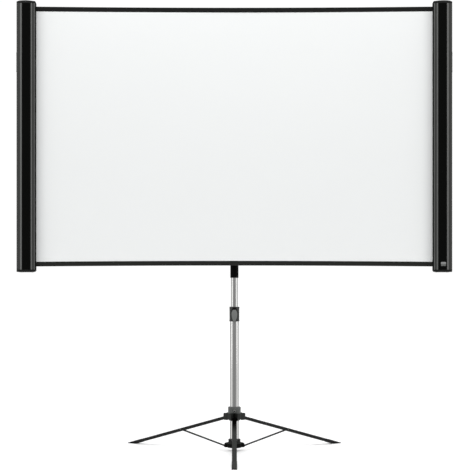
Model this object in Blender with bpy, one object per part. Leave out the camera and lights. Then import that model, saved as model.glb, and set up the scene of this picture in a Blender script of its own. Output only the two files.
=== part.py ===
"""A tripod projection screen that opens sideways like a scroll.

Two upright housings are pushed apart by folding arms behind the sheet, which winds off a
spring roller in each of them. The stand has a telescopic pole and three legs that fold with
a sliding hub. Metres, +Z up; the origin is on the floor under the middle of the object.
The viewer's side is -Y, and left means -X.
"""
import math

import bmesh
import bpy
from mathutils import Matrix, Vector

# Running clearances, and the overrun by which a cut passes through what it cuts
gap = 0.0003
slide_gap = 0.0005
overrun = 0.002
sharp_angle = math.radians(35)
fine_steps = 32
small_steps = 12
spring_steps = 8

# The picture and its sheet
image_width = 1.723
image_rise = 0.0484
image_drop = 0.0451
corner_rise = 0.005
edge_bow = 0.004
border_width = 0.0207
sheet_thickness = 0.0008
sheet_columns = 24

# Housing cross-section, u across from the outer side and v back from the front
housing_width = 0.0845
housing_wall = 0.002
housing_bottom = 0.7852
housing_height = 1.1736
cap_height = 0.009
shoulder_width = 0.0170
shoulder_drop = 0.014
shoulder_steps = 5
thick_wall_share = 1.5
ridge_width = 0.0087
inner_ridge_width = 0.0067
strip_width = 0.0362
strip_depth = 0.0015
inner_corner = 0.006
back_corner = 0.006
bay_wall = 0.002
bay_back_width = 0.0740
rear_width = 0.0665
slot_width = 0.0045
sheet_setback = 0.024
closing_gap = 0.0006
bump_across = 0.0375
bump_width = 0.074
bump_height = 0.0038
bump_steps = 5
bump_fall_share = 0.9
bump_plan_share = 0.94
cap_edge = 0.0015

# Spring rollers
roller_radius = 0.012
roller_wall = 0.0012
roller_room = 0.0047
roller_across = 0.038
plug_length = 0.022
stub_radius = 0.004
stub_length = 0.006
roller_end_gap = 0.0015
spring_wire = 0.0012
spring_radius = 0.0085
spring_turns = 9
spring_pitch = 0.012

# Side grips
grip_height = 0.087
grip_width = 0.046
grip_thickness = 0.0035
grip_centre_drop = 0.2603
grip_edge = 0.0012

# Folding arms behind the sheet
arm_pivot_rise = 0.1111
arm_open_rise = 0.46565
arm_width = 0.018
arm_thickness = 0.004
arm_layer_gap = 0.002
arm_room = 0.007
arm_pin_radius = 0.003
arm_head_radius = 0.006
arm_head = 0.0016
spine_pivot_across = 0.012
housing_pivot_across = 0.040
spine_width = 0.040
spine_depth = 0.012
spine_wall = 0.002
spine_top_margin = 0.012
track_width = 0.026
track_wall = 0.002
track_depth = 0.014
track_room = 0.006
track_below = 0.040
track_above = 0.026
slider_height = 0.034
anchor_height = 0.030
block_edge = 0.001

# Pole
lower_pole_radius = 0.0193
lower_pole_wall = 0.0016
lower_pole_bottom = 0.0200
upper_pole_radius = 0.0148
upper_pole_wall = 0.0014
upper_pole_bottom = 0.1500
pole_setback = 0.073
bush_length = 0.030
bush_lip = 0.002
slide_bush_length = 0.040
end_plug_length = 0.018

# Neck socket
neck_wall = 0.0028
neck_drop = 0.0245
neck_height = 0.1050
neck_floor = 0.006
screw_radius = 0.003
screw_height = 0.012
screw_knob_radius = 0.0075
screw_knob_length = 0.012
screw_boss_radius = 0.0055
screw_boss_length = 0.005
screw_lobes = 6
lobe_points = 6
screw_lobe_depth = 0.0010

# Height latch
collar_clearance = 0.0333
collar_height = 0.0643
collar_cap_depth = 0.0033
collar_radius = 0.0222
ear_across = 0.0045
ear_inner_gap = 0.0160
ear_root = 0.0140
ear_radius = 0.0055
lever_axis_out = 0.0283
lever_axis_drop = 0.0125
lever_width = 0.0245
lever_length = 0.066
lever_thickness = 0.0040
lever_tip_width = 0.0030
lever_start_share = 0.22
lever_points = 9
lever_flare = math.radians(10)
lever_pin_radius = 0.0018
lever_pin_head_radius = 0.0029
lever_barrel_radius = 0.0045

# Tripod linkage, heights above the floor and r out from the pole's axis
pivot_radius = 0.0440
upper_pivot_height = 0.1403
lower_pivot_height = 0.0190
fold_angle = math.radians(75.5)
leg_pivot_drop = 0.0048
brace_pivot_rise = 0.0010
leg_width = 0.020
leg_depth = 0.0135
leg_wall = 0.0015
leg_end_radius = 0.0052
web_start = 0.0100
foot_reach = 0.565
foot_tip_height = 0.0025
foot_sole = 0.0025
foot_grip = 0.030
foot_wall = 0.0008
pin_radius = 0.0020
pin_head_radius = 0.0036
pin_head = 0.0012
brace_width = 0.0100
brace_depth = 0.0050
brace_eye_radius = 0.0038

# Hubs
hub_wall = 0.0082
hub_top = 0.1940
hub_ring_height = 0.0280
hub_skirt_radius = 0.0300
hub_skirt_bottom = 0.1350
hub_skirt_rise = 0.0075
hub_neck_wall = 0.0045
hub_plate_width = 0.0400
hub_plate_out = 0.0300
hub_plate_bottom = 0.1680
cheek_thickness = 0.0030
cheek_top = 0.0262
cheek_bottom = 0.0052
cheek_reach = 0.0044
cheek_round = 0.0050
cheek_shoulder = 0.0060
bolt_height = 0.1775
bolt_radius = 0.0030
bolt_head_radius = 0.0055
bolt_head_length = 0.0045
bolt_slot = 0.0012
lower_ring_height = 0.0192
lower_hub_top = 0.0526
lower_hub_bottom = 0.0150
lower_ring_wall = 0.0072
lower_cheek_top = 0.0174
lower_cheek_bottom = 0.0045
lower_cheek_reach = 0.0038
lower_cheek_round = 0.0040
lower_cheek_shoulder = 0.0125

# Places worked out from the sizes above
half_image = image_width / 2
half_width = half_image + housing_width
housing_top = housing_bottom + housing_height
image_bottom = housing_bottom + image_rise
image_height = housing_height - image_rise - image_drop
grip_centre_height = housing_top - grip_centre_drop
arm_pivot_height = housing_bottom + arm_pivot_rise
neck_bottom = housing_bottom - neck_drop
body_bottom = housing_bottom + cap_height
body_top = housing_top - cap_height
leg_angles = {"front": math.radians(-90), "left": math.radians(150), "right": math.radians(30)}
foot_width = leg_width + (foot_wall + gap) * 2
foot_back_reach = foot_reach * math.sin(leg_angles["left"]) + foot_width / 2 * math.cos(leg_angles["right"])
pole_y = (foot_reach - foot_back_reach) / 2
front_y = pole_y - pole_setback
sheet_y = front_y + sheet_setback
roller_back = sheet_setback + gap + roller_radius
bay_back = roller_back + roller_radius + roller_room + bay_wall
linkage_gap = upper_pivot_height - lower_pivot_height
leg_drop = upper_pivot_height + leg_pivot_drop + leg_depth / 2 + foot_wall - foot_tip_height
leg_tilt = math.atan2(leg_drop, foot_reach - pivot_radius)
drop_share = (leg_pivot_drop + brace_pivot_rise) / (linkage_gap / 2)
rest_angle = math.atan2(math.sin(leg_tilt), math.cos(leg_tilt) + drop_share)
brace_length = linkage_gap / 2 / math.sin(rest_angle)
mid_pivot_radius = pivot_radius + brace_length * math.cos(rest_angle)
mid_pivot_height = lower_pivot_height + brace_length * math.sin(rest_angle)
hub_travel = brace_length * math.sin(fold_angle) * 2 - linkage_gap
collar_bottom = hub_top + hub_travel + collar_clearance
collar_top = collar_bottom + collar_height
lower_pole_top = collar_top - collar_cap_depth
hub_radius = lower_pole_radius + slide_gap + hub_wall
lower_hub_radius = lower_pole_radius + lower_ring_wall
neck_bore = upper_pole_radius + gap
neck_radius = neck_bore + neck_wall
neck_top = neck_bottom + neck_height
arm_open_width = half_image + housing_width - housing_pivot_across - spine_pivot_across
arm_open_angle = math.atan2(arm_open_rise, arm_open_width)
arm_length = math.hypot(arm_open_rise, arm_open_width)
closing_travel = half_image - closing_gap / 2
arm_closed_angle = math.acos((arm_open_width - closing_travel) / arm_length)
arm_closed_height = arm_length * math.sin(arm_closed_angle)
front_arm_v = bay_back + arm_room
back_arm_v = front_arm_v + arm_thickness + arm_layer_gap
housing_depth = back_arm_v + arm_thickness + track_room + track_depth + housing_wall / 2
spine_v = back_arm_v + arm_thickness + arm_layer_gap * 2
spine_back_v = spine_v + spine_depth
spine_top = arm_pivot_height + arm_closed_height + slider_height / 2 + spine_top_margin
housing_pivot_x = half_width - housing_pivot_across

finishes = {
    "housing_black": ((0.045, 0.046, 0.048), 0.42, 0.35),
    "strip_black": ((0.006, 0.006, 0.006), 0.25, 0.0),
    "cap_grey": ((0.085, 0.087, 0.085), 0.50, 0.0),
    "grip_grey": ((0.050, 0.050, 0.042), 0.65, 0.0),
    "moulded_black": ((0.012, 0.012, 0.012), 0.45, 0.0),
    "hub_black": ((0.045, 0.047, 0.045), 0.45, 0.0),
    "rubber": ((0.020, 0.020, 0.020), 0.80, 0.0),
    "polished_aluminium": ((0.70, 0.70, 0.69), 0.22, 1.0),
    "leg_grey": ((0.16, 0.16, 0.155), 0.38, 0.7),
    "arm_aluminium": ((0.55, 0.55, 0.54), 0.38, 1.0),
    "plated_steel": ((0.60, 0.59, 0.56), 0.28, 1.0),
    "lever_grey": ((0.20, 0.20, 0.20), 0.40, 0.2),
    "white_fabric": ((0.86, 0.87, 0.865), 0.90, 0.0),
    "border_black": ((0.028, 0.028, 0.026), 0.85, 0.0),
    "roller_tube": ((0.50, 0.51, 0.52), 0.35, 0.9),
    "nylon": ((0.75, 0.74, 0.70), 0.55, 0.0),
}


def clear_scene():
    for thing in list(bpy.data.objects):
        bpy.data.objects.remove(thing, do_unlink=True)


def finish(name):
    """The material of that name, made once."""
    material = bpy.data.materials.get(name)
    if material:
        return material
    colour, roughness, metallic = finishes[name]
    material = bpy.data.materials.new(name)
    material.use_nodes = True
    shader = material.node_tree.nodes["Principled BSDF"]
    shader.inputs["Base Color"].default_value = (*colour, 1)
    shader.inputs["Roughness"].default_value = roughness
    shader.inputs["Metallic"].default_value = metallic
    material.diffuse_color = (*colour, 1)
    return material


def mesh_object(name, mesh):
    thing = bpy.data.objects.new(name, mesh)
    bpy.context.scene.collection.objects.link(thing)
    return thing


def from_bmesh(bm, name="shape"):
    bmesh.ops.recalc_face_normals(bm, faces=bm.faces)
    mesh = bpy.data.meshes.new(name)
    bm.to_mesh(mesh)
    bm.free()
    return mesh_object(name, mesh)


def extruded(outline, start, end, frame=None):
    """A prism: the outline lies in the frame's XY plane and runs along its Z."""
    bm = bmesh.new()
    low = [bm.verts.new((x, y, start)) for x, y in outline]
    face = bm.faces.new(low)
    grown = bmesh.ops.extrude_face_region(bm, geom=[face])
    top = [part for part in grown["geom"] if isinstance(part, bmesh.types.BMVert)]
    bmesh.ops.translate(bm, verts=top, vec=(0, 0, end - start))
    bmesh.ops.transform(bm, matrix=frame or Matrix(), verts=bm.verts)
    return from_bmesh(bm)


def turned(profile, frame=None, steps=fine_steps):
    """A ring or a solid turned round the frame's Z from a closed outline of (r, z) points."""
    bm = bmesh.new()
    rings = []
    for radius, height in profile:
        if radius == 0:
            rings.append([bm.verts.new((0, 0, height))] * steps)
            continue
        angles = [2 * math.pi * step / steps for step in range(steps)]
        rings.append([bm.verts.new((radius * math.cos(a), radius * math.sin(a), height)) for a in angles])
    for ring, following in zip(rings, rings[1:] + rings[:1]):
        for step in range(steps):
            after = (step + 1) % steps
            corners = [ring[step], ring[after], following[after], following[step]]
            corners = [v for i, v in enumerate(corners) if v not in corners[:i]]
            if len(corners) > 2:
                bm.faces.new(corners)
    bmesh.ops.transform(bm, matrix=frame or Matrix(), verts=bm.verts)
    return from_bmesh(bm)


def rod(radius, start, end, frame=None, steps=small_steps):
    return turned([(0, start), (radius, start), (radius, end), (0, end)], frame, steps)


def ring(inner, outer, start, end, frame=None, steps=fine_steps):
    return turned([(inner, start), (outer, start), (outer, end), (inner, end)], frame, steps)


def block(low, high, edge=0, frame=None):
    """A box from corner to corner, its edges bevelled by edge."""
    bm = bmesh.new()
    bmesh.ops.create_cube(bm, size=1)
    size = Vector(high) - Vector(low)
    middle = (Vector(high) + Vector(low)) / 2
    bmesh.ops.scale(bm, vec=size, verts=bm.verts)
    bmesh.ops.translate(bm, vec=middle, verts=bm.verts)
    if edge:
        bmesh.ops.bevel(bm, geom=bm.edges, offset=edge, segments=1, affect="EDGES")
    bmesh.ops.transform(bm, matrix=frame or Matrix(), verts=bm.verts)
    return from_bmesh(bm)


def combined(thing, others, operation):
    """The object with each other shape cut from it or joined to it, and the other shapes removed."""
    for other in others:
        step = thing.modifiers.new(operation.lower(), "BOOLEAN")
        step.operation = operation
        step.solver = "EXACT"
        step.object = other
    shape = thing.evaluated_get(bpy.context.evaluated_depsgraph_get())
    mesh = bpy.data.meshes.new_from_object(shape)
    thing.modifiers.clear()
    thing.data = mesh
    for other in others:
        bpy.data.objects.remove(other, do_unlink=True)
    return thing


def cut(thing, *cutters):
    return combined(thing, cutters, "DIFFERENCE")


def fused(thing, *others):
    return combined(thing, others, "UNION")


def moved(thing, frame):
    """The object with its mesh put in a frame, its faces turned back where the frame mirrors."""
    thing.data.transform(frame)
    if frame.determinant() < 0:
        thing.data.flip_normals()
    return thing


def arc(centre, radius, start, end, count):
    """Points on an arc, angles in degrees, both ends included."""
    angles = [math.radians(start + (end - start) * i / count) for i in range(count + 1)]
    return [(centre[0] + radius * math.cos(a), centre[1] + radius * math.sin(a)) for a in angles]


def placed(thing, name, material, joint=None, smooth=True):
    """Names and finishes a piece, and puts its origin on its joint's axis."""
    thing.name = name
    thing.data.name = name
    thing.data.materials.clear()
    thing.data.materials.append(finish(material))
    if smooth:
        thing.data.shade_smooth()
        thing.data.set_sharp_from_angle(angle=sharp_angle)
    if joint:
        spot = Vector(joints[joint])
        thing.data.transform(Matrix.Translation(-spot))
        thing.parent = pivots[joint]
    return thing


def add_pivot(name, parent):
    """An empty on a joint's axis, carried by the empty of the joint before it."""
    pivot = bpy.data.objects.new("pivot_" + name, None)
    bpy.context.scene.collection.objects.link(pivot)
    pivot.empty_display_size = pin_head_radius
    before = Vector(joints[parent]) if parent else Vector()
    pivot.location = Vector(joints[name]) - before
    pivot.parent = pivots.get(parent)
    pivots[name] = pivot


def leg_frame(side):
    """Local X points out along a leg, local Y to its side and local Z up, from the pole's foot."""
    angle = leg_angles[side]
    return Matrix.Translation((0, pole_y, 0)) @ Matrix.Rotation(angle, 4, "Z")


def across_frame(frame):
    """Turns a frame so that outlines in (r, z) are extruded to the side of a leg."""
    return frame @ Matrix(((1, 0, 0, 0), (0, 0, -1, 0), (0, 1, 0, 0), (0, 0, 0, 1)))


def leg_point(side, radius, height):
    return leg_frame(side) @ Vector((radius, 0, height))


pole_frame = Matrix.Translation((0, pole_y, 0))
sides = {"left": -1, "right": 1}
joints = {
    "height_slide": (0, pole_y, upper_pole_bottom),
    "latch_lever": (0, pole_y - lever_axis_out, collar_top - lever_axis_drop),
    "hub_bolt": (0, pole_y - hub_plate_out, bolt_height),
    "neck_screw": (0, pole_y + neck_radius, neck_bottom + screw_height),
    "centre_slider": (-spine_pivot_across, front_y + spine_v, arm_pivot_height + arm_open_rise),
}
pivots = {}


def find_joints():
    """Every joint's place at rest, and the empties that stand there."""
    for side in leg_angles:
        joints["brace_" + side] = leg_point(side, pivot_radius, lower_pivot_height)
        joints["leg_" + side] = leg_point(side, mid_pivot_radius, mid_pivot_height)
    joints["hub"] = leg_point("front", pivot_radius, upper_pivot_height)
    for side, sign in sides.items():
        arm_y = front_y + front_arm_v
        joints["arm_front_" + side] = (sign * spine_pivot_across, arm_y, arm_pivot_height)
        middle = sign * (spine_pivot_across + arm_open_width / 2)
        joints["arm_back_" + side] = (middle, arm_y, arm_pivot_height + arm_open_rise / 2)
        joints["housing_" + side] = (sign * housing_pivot_x, arm_y, arm_pivot_height)
        joints["slider_" + side] = (sign * housing_pivot_x, arm_y, arm_pivot_height + arm_open_rise)
        roller_x = sign * (half_width - roller_across)
        joints["roller_" + side] = (roller_x, front_y + roller_back, body_bottom)
    for side in leg_angles:
        add_pivot("brace_" + side, None)
        add_pivot("leg_" + side, "brace_" + side)
    add_pivot("hub", "leg_front")
    add_pivot("hub_bolt", "hub")
    add_pivot("latch_lever", None)
    add_pivot("height_slide", None)
    add_pivot("neck_screw", "height_slide")
    for side in sides:
        add_pivot("arm_front_" + side, "height_slide")
        add_pivot("arm_back_" + side, "arm_front_" + side)
        add_pivot("housing_" + side, "arm_back_" + side)
        add_pivot("slider_" + side, "arm_front_" + side)
        add_pivot("roller_" + side, "housing_" + side)
    add_pivot("centre_slider", "arm_back_left")


# Stand: pole and height latch


def make_lower_pole():
    bore = lower_pole_radius - lower_pole_wall
    tube = ring(bore, lower_pole_radius, lower_pole_bottom, lower_pole_top, pole_frame)
    placed(tube, "lower_pole", "polished_aluminium")
    plug_top = lower_pole_bottom + end_plug_length
    lip_bottom = lower_pole_bottom - gap - bush_lip
    outline = [(0, lip_bottom), (lower_pole_radius, lip_bottom), (lower_pole_radius, lower_pole_bottom - gap)]
    outline += [(bore - gap, lower_pole_bottom - gap), (bore - gap, plug_top), (0, plug_top)]
    placed(turned(outline, pole_frame), "pole_end_plug", "moulded_black")


def make_guide_bush():
    """The nylon bush in the mouth of the lower pole, which guides the upper one."""
    bore = upper_pole_radius + gap
    outer = lower_pole_radius - lower_pole_wall - gap
    bottom = lower_pole_top - bush_length
    lip = lower_pole_top + gap
    outline = [(bore, bottom), (outer, bottom), (outer, lip), (lower_pole_radius, lip)]
    outline += [(lower_pole_radius, lip + bush_lip), (bore, lip + bush_lip)]
    placed(turned(outline, pole_frame), "guide_bush", "nylon")


def make_latch_collar():
    bore = lower_pole_radius + gap
    lip_bore = upper_pole_radius + slide_gap * 2
    lip_bottom = lower_pole_top + gap + bush_lip + gap
    edge = block_edge
    outline = [(bore, collar_bottom), (collar_radius, collar_bottom), (collar_radius, collar_top - edge)]
    outline += [(collar_radius - edge, collar_top), (lip_bore, collar_top), (lip_bore, lip_bottom)]
    outline += [(bore, lip_bottom)]
    collar = turned(outline, pole_frame)
    axis_y, axis_z = -lever_axis_out, collar_top - lever_axis_drop
    ears = []
    for sign in sides.values():
        start = sign * ear_inner_gap / 2
        end = start + sign * ear_across
        outline = arc((axis_y, axis_z), ear_radius, 90, 270, 8)
        outline += [(-ear_root, axis_z - ear_radius), (-ear_root, axis_z + ear_radius)]
        ear = extruded(outline, min(start, end), max(start, end), side_frame())
        core = collar_radius - block_edge
        clear_pole = rod(core, collar_bottom, collar_top + overrun, pole_frame, fine_steps)
        ears.append(cut(ear, clear_pole))
    collar = fused(collar, *ears)
    hole = rod(lever_pin_radius + gap, -lever_width, lever_width, pin_frame(axis_y, axis_z))
    placed(cut(collar, hole), "latch_collar", "moulded_black")
    head = ear_inner_gap / 2 + ear_across + gap
    pin = headed_pin(lever_pin_radius, lever_pin_head_radius, pin_head, head, pin_frame(axis_y, axis_z))
    placed(pin, "lever_pin", "plated_steel")


def side_frame():
    """Outlines in (y, z) from the pole's axis, extruded along X."""
    turn = Matrix(((0, 0, 1, 0), (1, 0, 0, 0), (0, 1, 0, 0), (0, 0, 0, 1)))
    return pole_frame @ turn


def pin_frame(y, z):
    """A frame whose Z runs along X through that point of the pole's middle plane."""
    return side_frame() @ Matrix.Translation((y, z, 0))


def headed_pin(radius, head_radius, head, reach, frame):
    """A pin with a head past each end of its seat, which runs from -reach to reach."""
    outline = [(0, -reach - head), (head_radius, -reach - head), (head_radius, -reach), (radius, -reach)]
    outline += [(radius, reach), (head_radius, reach), (head_radius, reach + head), (0, reach + head)]
    return turned(outline, frame, small_steps)


def lever_outline():
    """The lens shape of the lever, widest near its pin, as (across, down) points."""
    half = lever_width / 2
    edge = []
    for i in range(lever_points + 1):
        share = i / lever_points
        phase = lever_start_share + (1 - lever_start_share) * share
        width = half * math.sin(math.pi * phase)
        edge.append((max(width, lever_tip_width / 2), share * lever_length))
    return edge + [(-x, y) for x, y in reversed(edge)]


def make_latch_lever():
    axis_y, axis_z = -lever_axis_out, collar_top - lever_axis_drop
    half = ear_inner_gap / 2 - gap
    barrel = rod(lever_barrel_radius, -half, half, pin_frame(axis_y, axis_z), small_steps)
    front = ear_radius + slide_gap
    turn = Matrix(((1, 0, 0, 0), (0, 0, -1, 0), (0, -1, 0, 0), (0, 0, 0, 1)))
    start = Matrix.Translation((0, pole_y + axis_y, axis_z)) @ Matrix.Rotation(-lever_flare, 4, "X")
    plate_frame = start @ Matrix.Translation((0, 0, ear_radius)) @ turn
    plate = extruded(lever_outline(), front, front + lever_thickness, plate_frame)
    bridge_low = (-half, -front - lever_thickness / 2, -lever_barrel_radius / 2)
    bridge_high = (half, 0, lever_barrel_radius / 2)
    bridge = block(bridge_low, bridge_high, 0, start)
    lever = fused(barrel, plate, bridge)
    bore = rod(lever_pin_radius + gap, -lever_width, lever_width, pin_frame(axis_y, axis_z))
    placed(cut(lever, bore), "latch_lever", "lever_grey", "latch_lever")


def make_upper_pole():
    tube_top = neck_top - neck_floor - gap
    bore = upper_pole_radius - upper_pole_wall
    tube = ring(bore, upper_pole_radius, upper_pole_bottom, tube_top, pole_frame)
    placed(tube, "upper_pole", "polished_aluminium", "height_slide")
    outer = lower_pole_radius - lower_pole_wall - gap
    low = upper_pole_bottom - gap - bush_lip
    step = upper_pole_bottom - gap
    high = low + slide_bush_length
    seat = upper_pole_radius + gap
    outline = [(bore, low), (outer, low), (outer, high), (seat, high), (seat, step), (bore, step)]
    placed(turned(outline, pole_frame), "slide_bush", "nylon", "height_slide")


def make_neck():
    """The socket on the upper pole that carries the spine, and its clamping screw."""
    top_inner = neck_top - neck_floor
    outline = [(neck_bore, neck_bottom), (neck_radius, neck_bottom), (neck_radius, neck_top)]
    outline += [(0, neck_top), (0, top_inner), (neck_bore, top_inner)]
    socket = turned(outline, pole_frame)
    height = neck_bottom + screw_height
    back = pole_frame @ Matrix.Translation((0, 0, height)) @ Matrix.Rotation(math.radians(-90), 4, "X")
    boss = rod(screw_boss_radius, neck_bore + gap, neck_radius + screw_boss_length, back)
    hole = rod(screw_radius + gap, upper_pole_radius, neck_radius + screw_boss_length + overrun, back)
    socket = cut(fused(socket, boss), hole)
    placed(socket, "neck_socket", "moulded_black", "height_slide")
    seat = neck_radius + screw_boss_length + gap
    knob = extruded(lobed_outline(), seat, seat + screw_knob_length, back)
    shank = rod(screw_radius, upper_pole_radius + gap, seat + screw_knob_length / 2, back)
    placed(fused(knob, shank), "neck_screw", "moulded_black", "neck_screw")


def lobed_outline():
    """The outline of a knob with shallow lobes."""
    count = screw_lobes * lobe_points
    points = []
    for i in range(count):
        angle = 2 * math.pi * i / count
        radius = screw_knob_radius - screw_lobe_depth * (1 - math.cos(screw_lobes * angle)) / 2
        points.append((radius * math.cos(angle), radius * math.sin(angle)))
    return points


# Stand: hubs, legs and braces


def cheek_outline(height, reach, top, bottom, corner, shoulder, core):
    """One side plate of a fork, round at its outer end."""
    outer = pivot_radius + reach
    low, high = height - bottom, height + top
    outline = [(core, low)] + arc((outer - corner, low + corner), corner, -90, 0, 5)
    return outline + arc((outer - shoulder, high - shoulder), shoulder, 0, 90, 5) + [(core, high)]


def fork_cheeks(width, outline):
    """Six plates, two for each leg, that stand either side of what pivots between them."""
    plates = []
    for side in leg_angles:
        frame = across_frame(leg_frame(side))
        for start in (width / 2 + gap, -width / 2 - gap - cheek_thickness):
            plates.append(extruded(outline, start, start + cheek_thickness, frame))
    return plates


def fork_pins(width, height):
    """The riveted pin of each fork, with a head sunk a little in each side plate."""
    reach = width / 2 + cheek_thickness
    return [
        headed_pin(pin_radius, pin_head_radius, pin_head, reach, pivot_frame(side, pivot_radius, height))
        for side in leg_angles
    ]


def make_upper_hub():
    bore = lower_pole_radius + slide_gap
    ring_bottom = hub_top - hub_ring_height
    edge = block_edge
    outline = [(bore, hub_skirt_bottom), (bore + hub_neck_wall, hub_skirt_bottom)]
    outline += [(hub_skirt_radius, hub_skirt_bottom + hub_skirt_rise)]
    outline += [(hub_skirt_radius, ring_bottom), (hub_radius, ring_bottom)]
    outline += [(hub_radius, hub_top - edge), (hub_radius - edge, hub_top), (bore, hub_top)]
    hub = turned(outline, pole_frame)
    core = hub_skirt_radius - hub_wall / 2
    sizes = (cheek_reach, cheek_top, cheek_bottom, cheek_round, cheek_shoulder)
    cheeks = fork_cheeks(leg_width, cheek_outline(upper_pivot_height, *sizes, core))
    half = hub_plate_width / 2
    plate_low = (-half, pole_y - hub_plate_out, hub_plate_bottom)
    plate_high = (half, pole_y - bore - hub_wall / 3, hub_top - edge * 2)
    hub = fused(hub, *cheeks, block(plate_low, plate_high, edge), *fork_pins(leg_width, upper_pivot_height))
    front = bolt_frame()
    hole = rod(bolt_radius + gap, -overrun, hub_plate_out - lower_pole_radius + overrun, front)
    placed(cut(hub, hole), "upper_hub", "hub_black", "hub")


def bolt_frame():
    """Local Z runs from the face of the hub's front plate towards the pole."""
    place = Matrix.Translation((0, pole_y - hub_plate_out, bolt_height))
    return place @ Matrix.Rotation(math.radians(-90), 4, "X")


def make_hub_bolt():
    """The bolt in the hub's front plate, whose tip holds the hub to the pole."""
    tip = hub_plate_out - lower_pole_radius - gap
    head = bolt_head_length
    edge = bolt_slot
    top = -gap - head
    outline = [(0, top), (bolt_head_radius - edge, top), (bolt_head_radius, top + edge)]
    outline += [(bolt_head_radius, -gap), (bolt_radius, -gap), (bolt_radius, tip), (0, tip)]
    bolt = turned(outline, bolt_frame(), small_steps)
    low = (-bolt_slot / 2, -bolt_head_radius, top - overrun)
    high = (bolt_slot / 2, bolt_head_radius, top + bolt_slot)
    placed(cut(bolt, block(low, high, 0, bolt_frame())), "hub_bolt", "plated_steel", "hub_bolt")


def make_lower_hub():
    """The fixed hub at the foot of the lower pole, clear of the floor."""
    bore = lower_pole_radius + gap
    ring_bottom = lower_hub_top - lower_ring_height
    floor = lower_pole_bottom - gap - bush_lip - gap
    edge = block_edge
    top = lower_hub_top
    outline = [(0, lower_hub_bottom), (hub_skirt_radius - edge, lower_hub_bottom)]
    outline += [(hub_skirt_radius, lower_hub_bottom + edge), (hub_skirt_radius, ring_bottom)]
    outline += [(lower_hub_radius, ring_bottom), (lower_hub_radius, top - edge)]
    outline += [(lower_hub_radius - edge, top), (bore, top), (bore, floor), (0, floor)]
    hub = turned(outline, pole_frame)
    core = hub_skirt_radius - hub_wall / 2
    corners = (lower_cheek_round, lower_cheek_shoulder)
    sizes = (lower_cheek_reach, lower_cheek_top, lower_cheek_bottom, *corners)
    cheeks = fork_cheeks(brace_width, cheek_outline(lower_pivot_height, *sizes, core))
    hub = fused(hub, *cheeks, *fork_pins(brace_width, lower_pivot_height))
    placed(hub, "lower_hub", "hub_black")


def bar_frame(side):
    """Local X runs down a leg's centre line from over its hub pivot, and local Y lies across its depth."""
    frame = leg_frame(side) @ Matrix.Translation((pivot_radius, 0, upper_pivot_height))
    tilt = frame @ Matrix.Rotation(leg_tilt, 4, "Y") @ Matrix.Translation((0, 0, leg_pivot_drop))
    return across_frame(tilt)


def bar_point(distance, offset):
    """The (r, z) place at a distance down the bar's centre line and an offset above it."""
    across, up = distance * math.cos(leg_tilt), (leg_pivot_drop + offset) * math.cos(leg_tilt)
    r = pivot_radius + across + (leg_pivot_drop + offset) * math.sin(leg_tilt)
    return r, upper_pivot_height + up - distance * math.sin(leg_tilt)


def bar_length():
    """From over the hub pivot to the bar's end, where its lower edge comes down to the foot's sole."""
    edge_height = bar_point(0, -leg_depth / 2)[1]
    return (edge_height - foot_sole) / math.sin(leg_tilt)


def make_leg(side):
    """A channel, open below, with a round end about its hub pivot."""
    half, inner = leg_width / 2, leg_width / 2 - leg_wall
    depth = leg_depth / 2
    frame = bar_frame(side)
    length = bar_length()
    meets = 360 - math.degrees(math.asin((depth - leg_pivot_drop) / leg_end_radius))
    outline = arc((0, -leg_pivot_drop), leg_end_radius, 120, meets, 10)
    outline += [(length, -depth), (length, depth), (0, depth)]
    leg = extruded(outline, -half, half, frame)
    past, under = length + overrun, depth - leg_wall
    hollow = [(-leg_width, -leg_width), (past, -leg_width), (past, under), (web_start, under)]
    hollow += [(web_start, leg_width), (-leg_width, leg_width)]
    leg = cut(leg, extruded(hollow, -inner, inner, frame))
    hub_end = frame @ Matrix.Translation((0, -leg_pivot_drop, 0))
    middle = pivot_frame(side, mid_pivot_radius, mid_pivot_height)
    hub_hole = rod(pin_radius + gap, -leg_width, leg_width, hub_end)
    brace_hole = rod(pin_radius + gap, -leg_width, leg_width, middle)
    placed(cut(leg, hub_hole, brace_hole), "leg_" + side, "leg_grey", "leg_" + side)


def pivot_frame(side, radius, height):
    return across_frame(leg_frame(side)) @ Matrix.Translation((radius, height, 0))


def sole_start():
    """How far out the slim foot's underside, which follows the leg, comes down to the floor."""
    r, z = bar_point(bar_length(), -leg_depth / 2 - foot_wall)
    return r + z / math.tan(leg_tilt)


def make_foot(side):
    """A slim rubber cap over the end of a leg, cut flat by the floor."""
    rear = bar_length() - foot_grip
    side_reach = leg_depth / 2 + foot_wall
    outline = [bar_point(rear, -side_reach), (sole_start(), 0), (foot_reach, 0)]
    outline += [(foot_reach, foot_tip_height), bar_point(rear, side_reach)]
    half = foot_width / 2
    cap = extruded(outline, -half, half, across_frame(leg_frame(side)))
    frame = bar_frame(side)
    length = bar_length()
    room = leg_depth / 2 + gap
    low = (rear - overrun, -room, -leg_width / 2 - gap)
    high = (length + gap, room, leg_width / 2 + gap)
    placed(cut(cap, block(low, high, 0, frame)), "foot_" + side, "rubber", "leg_" + side)


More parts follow.
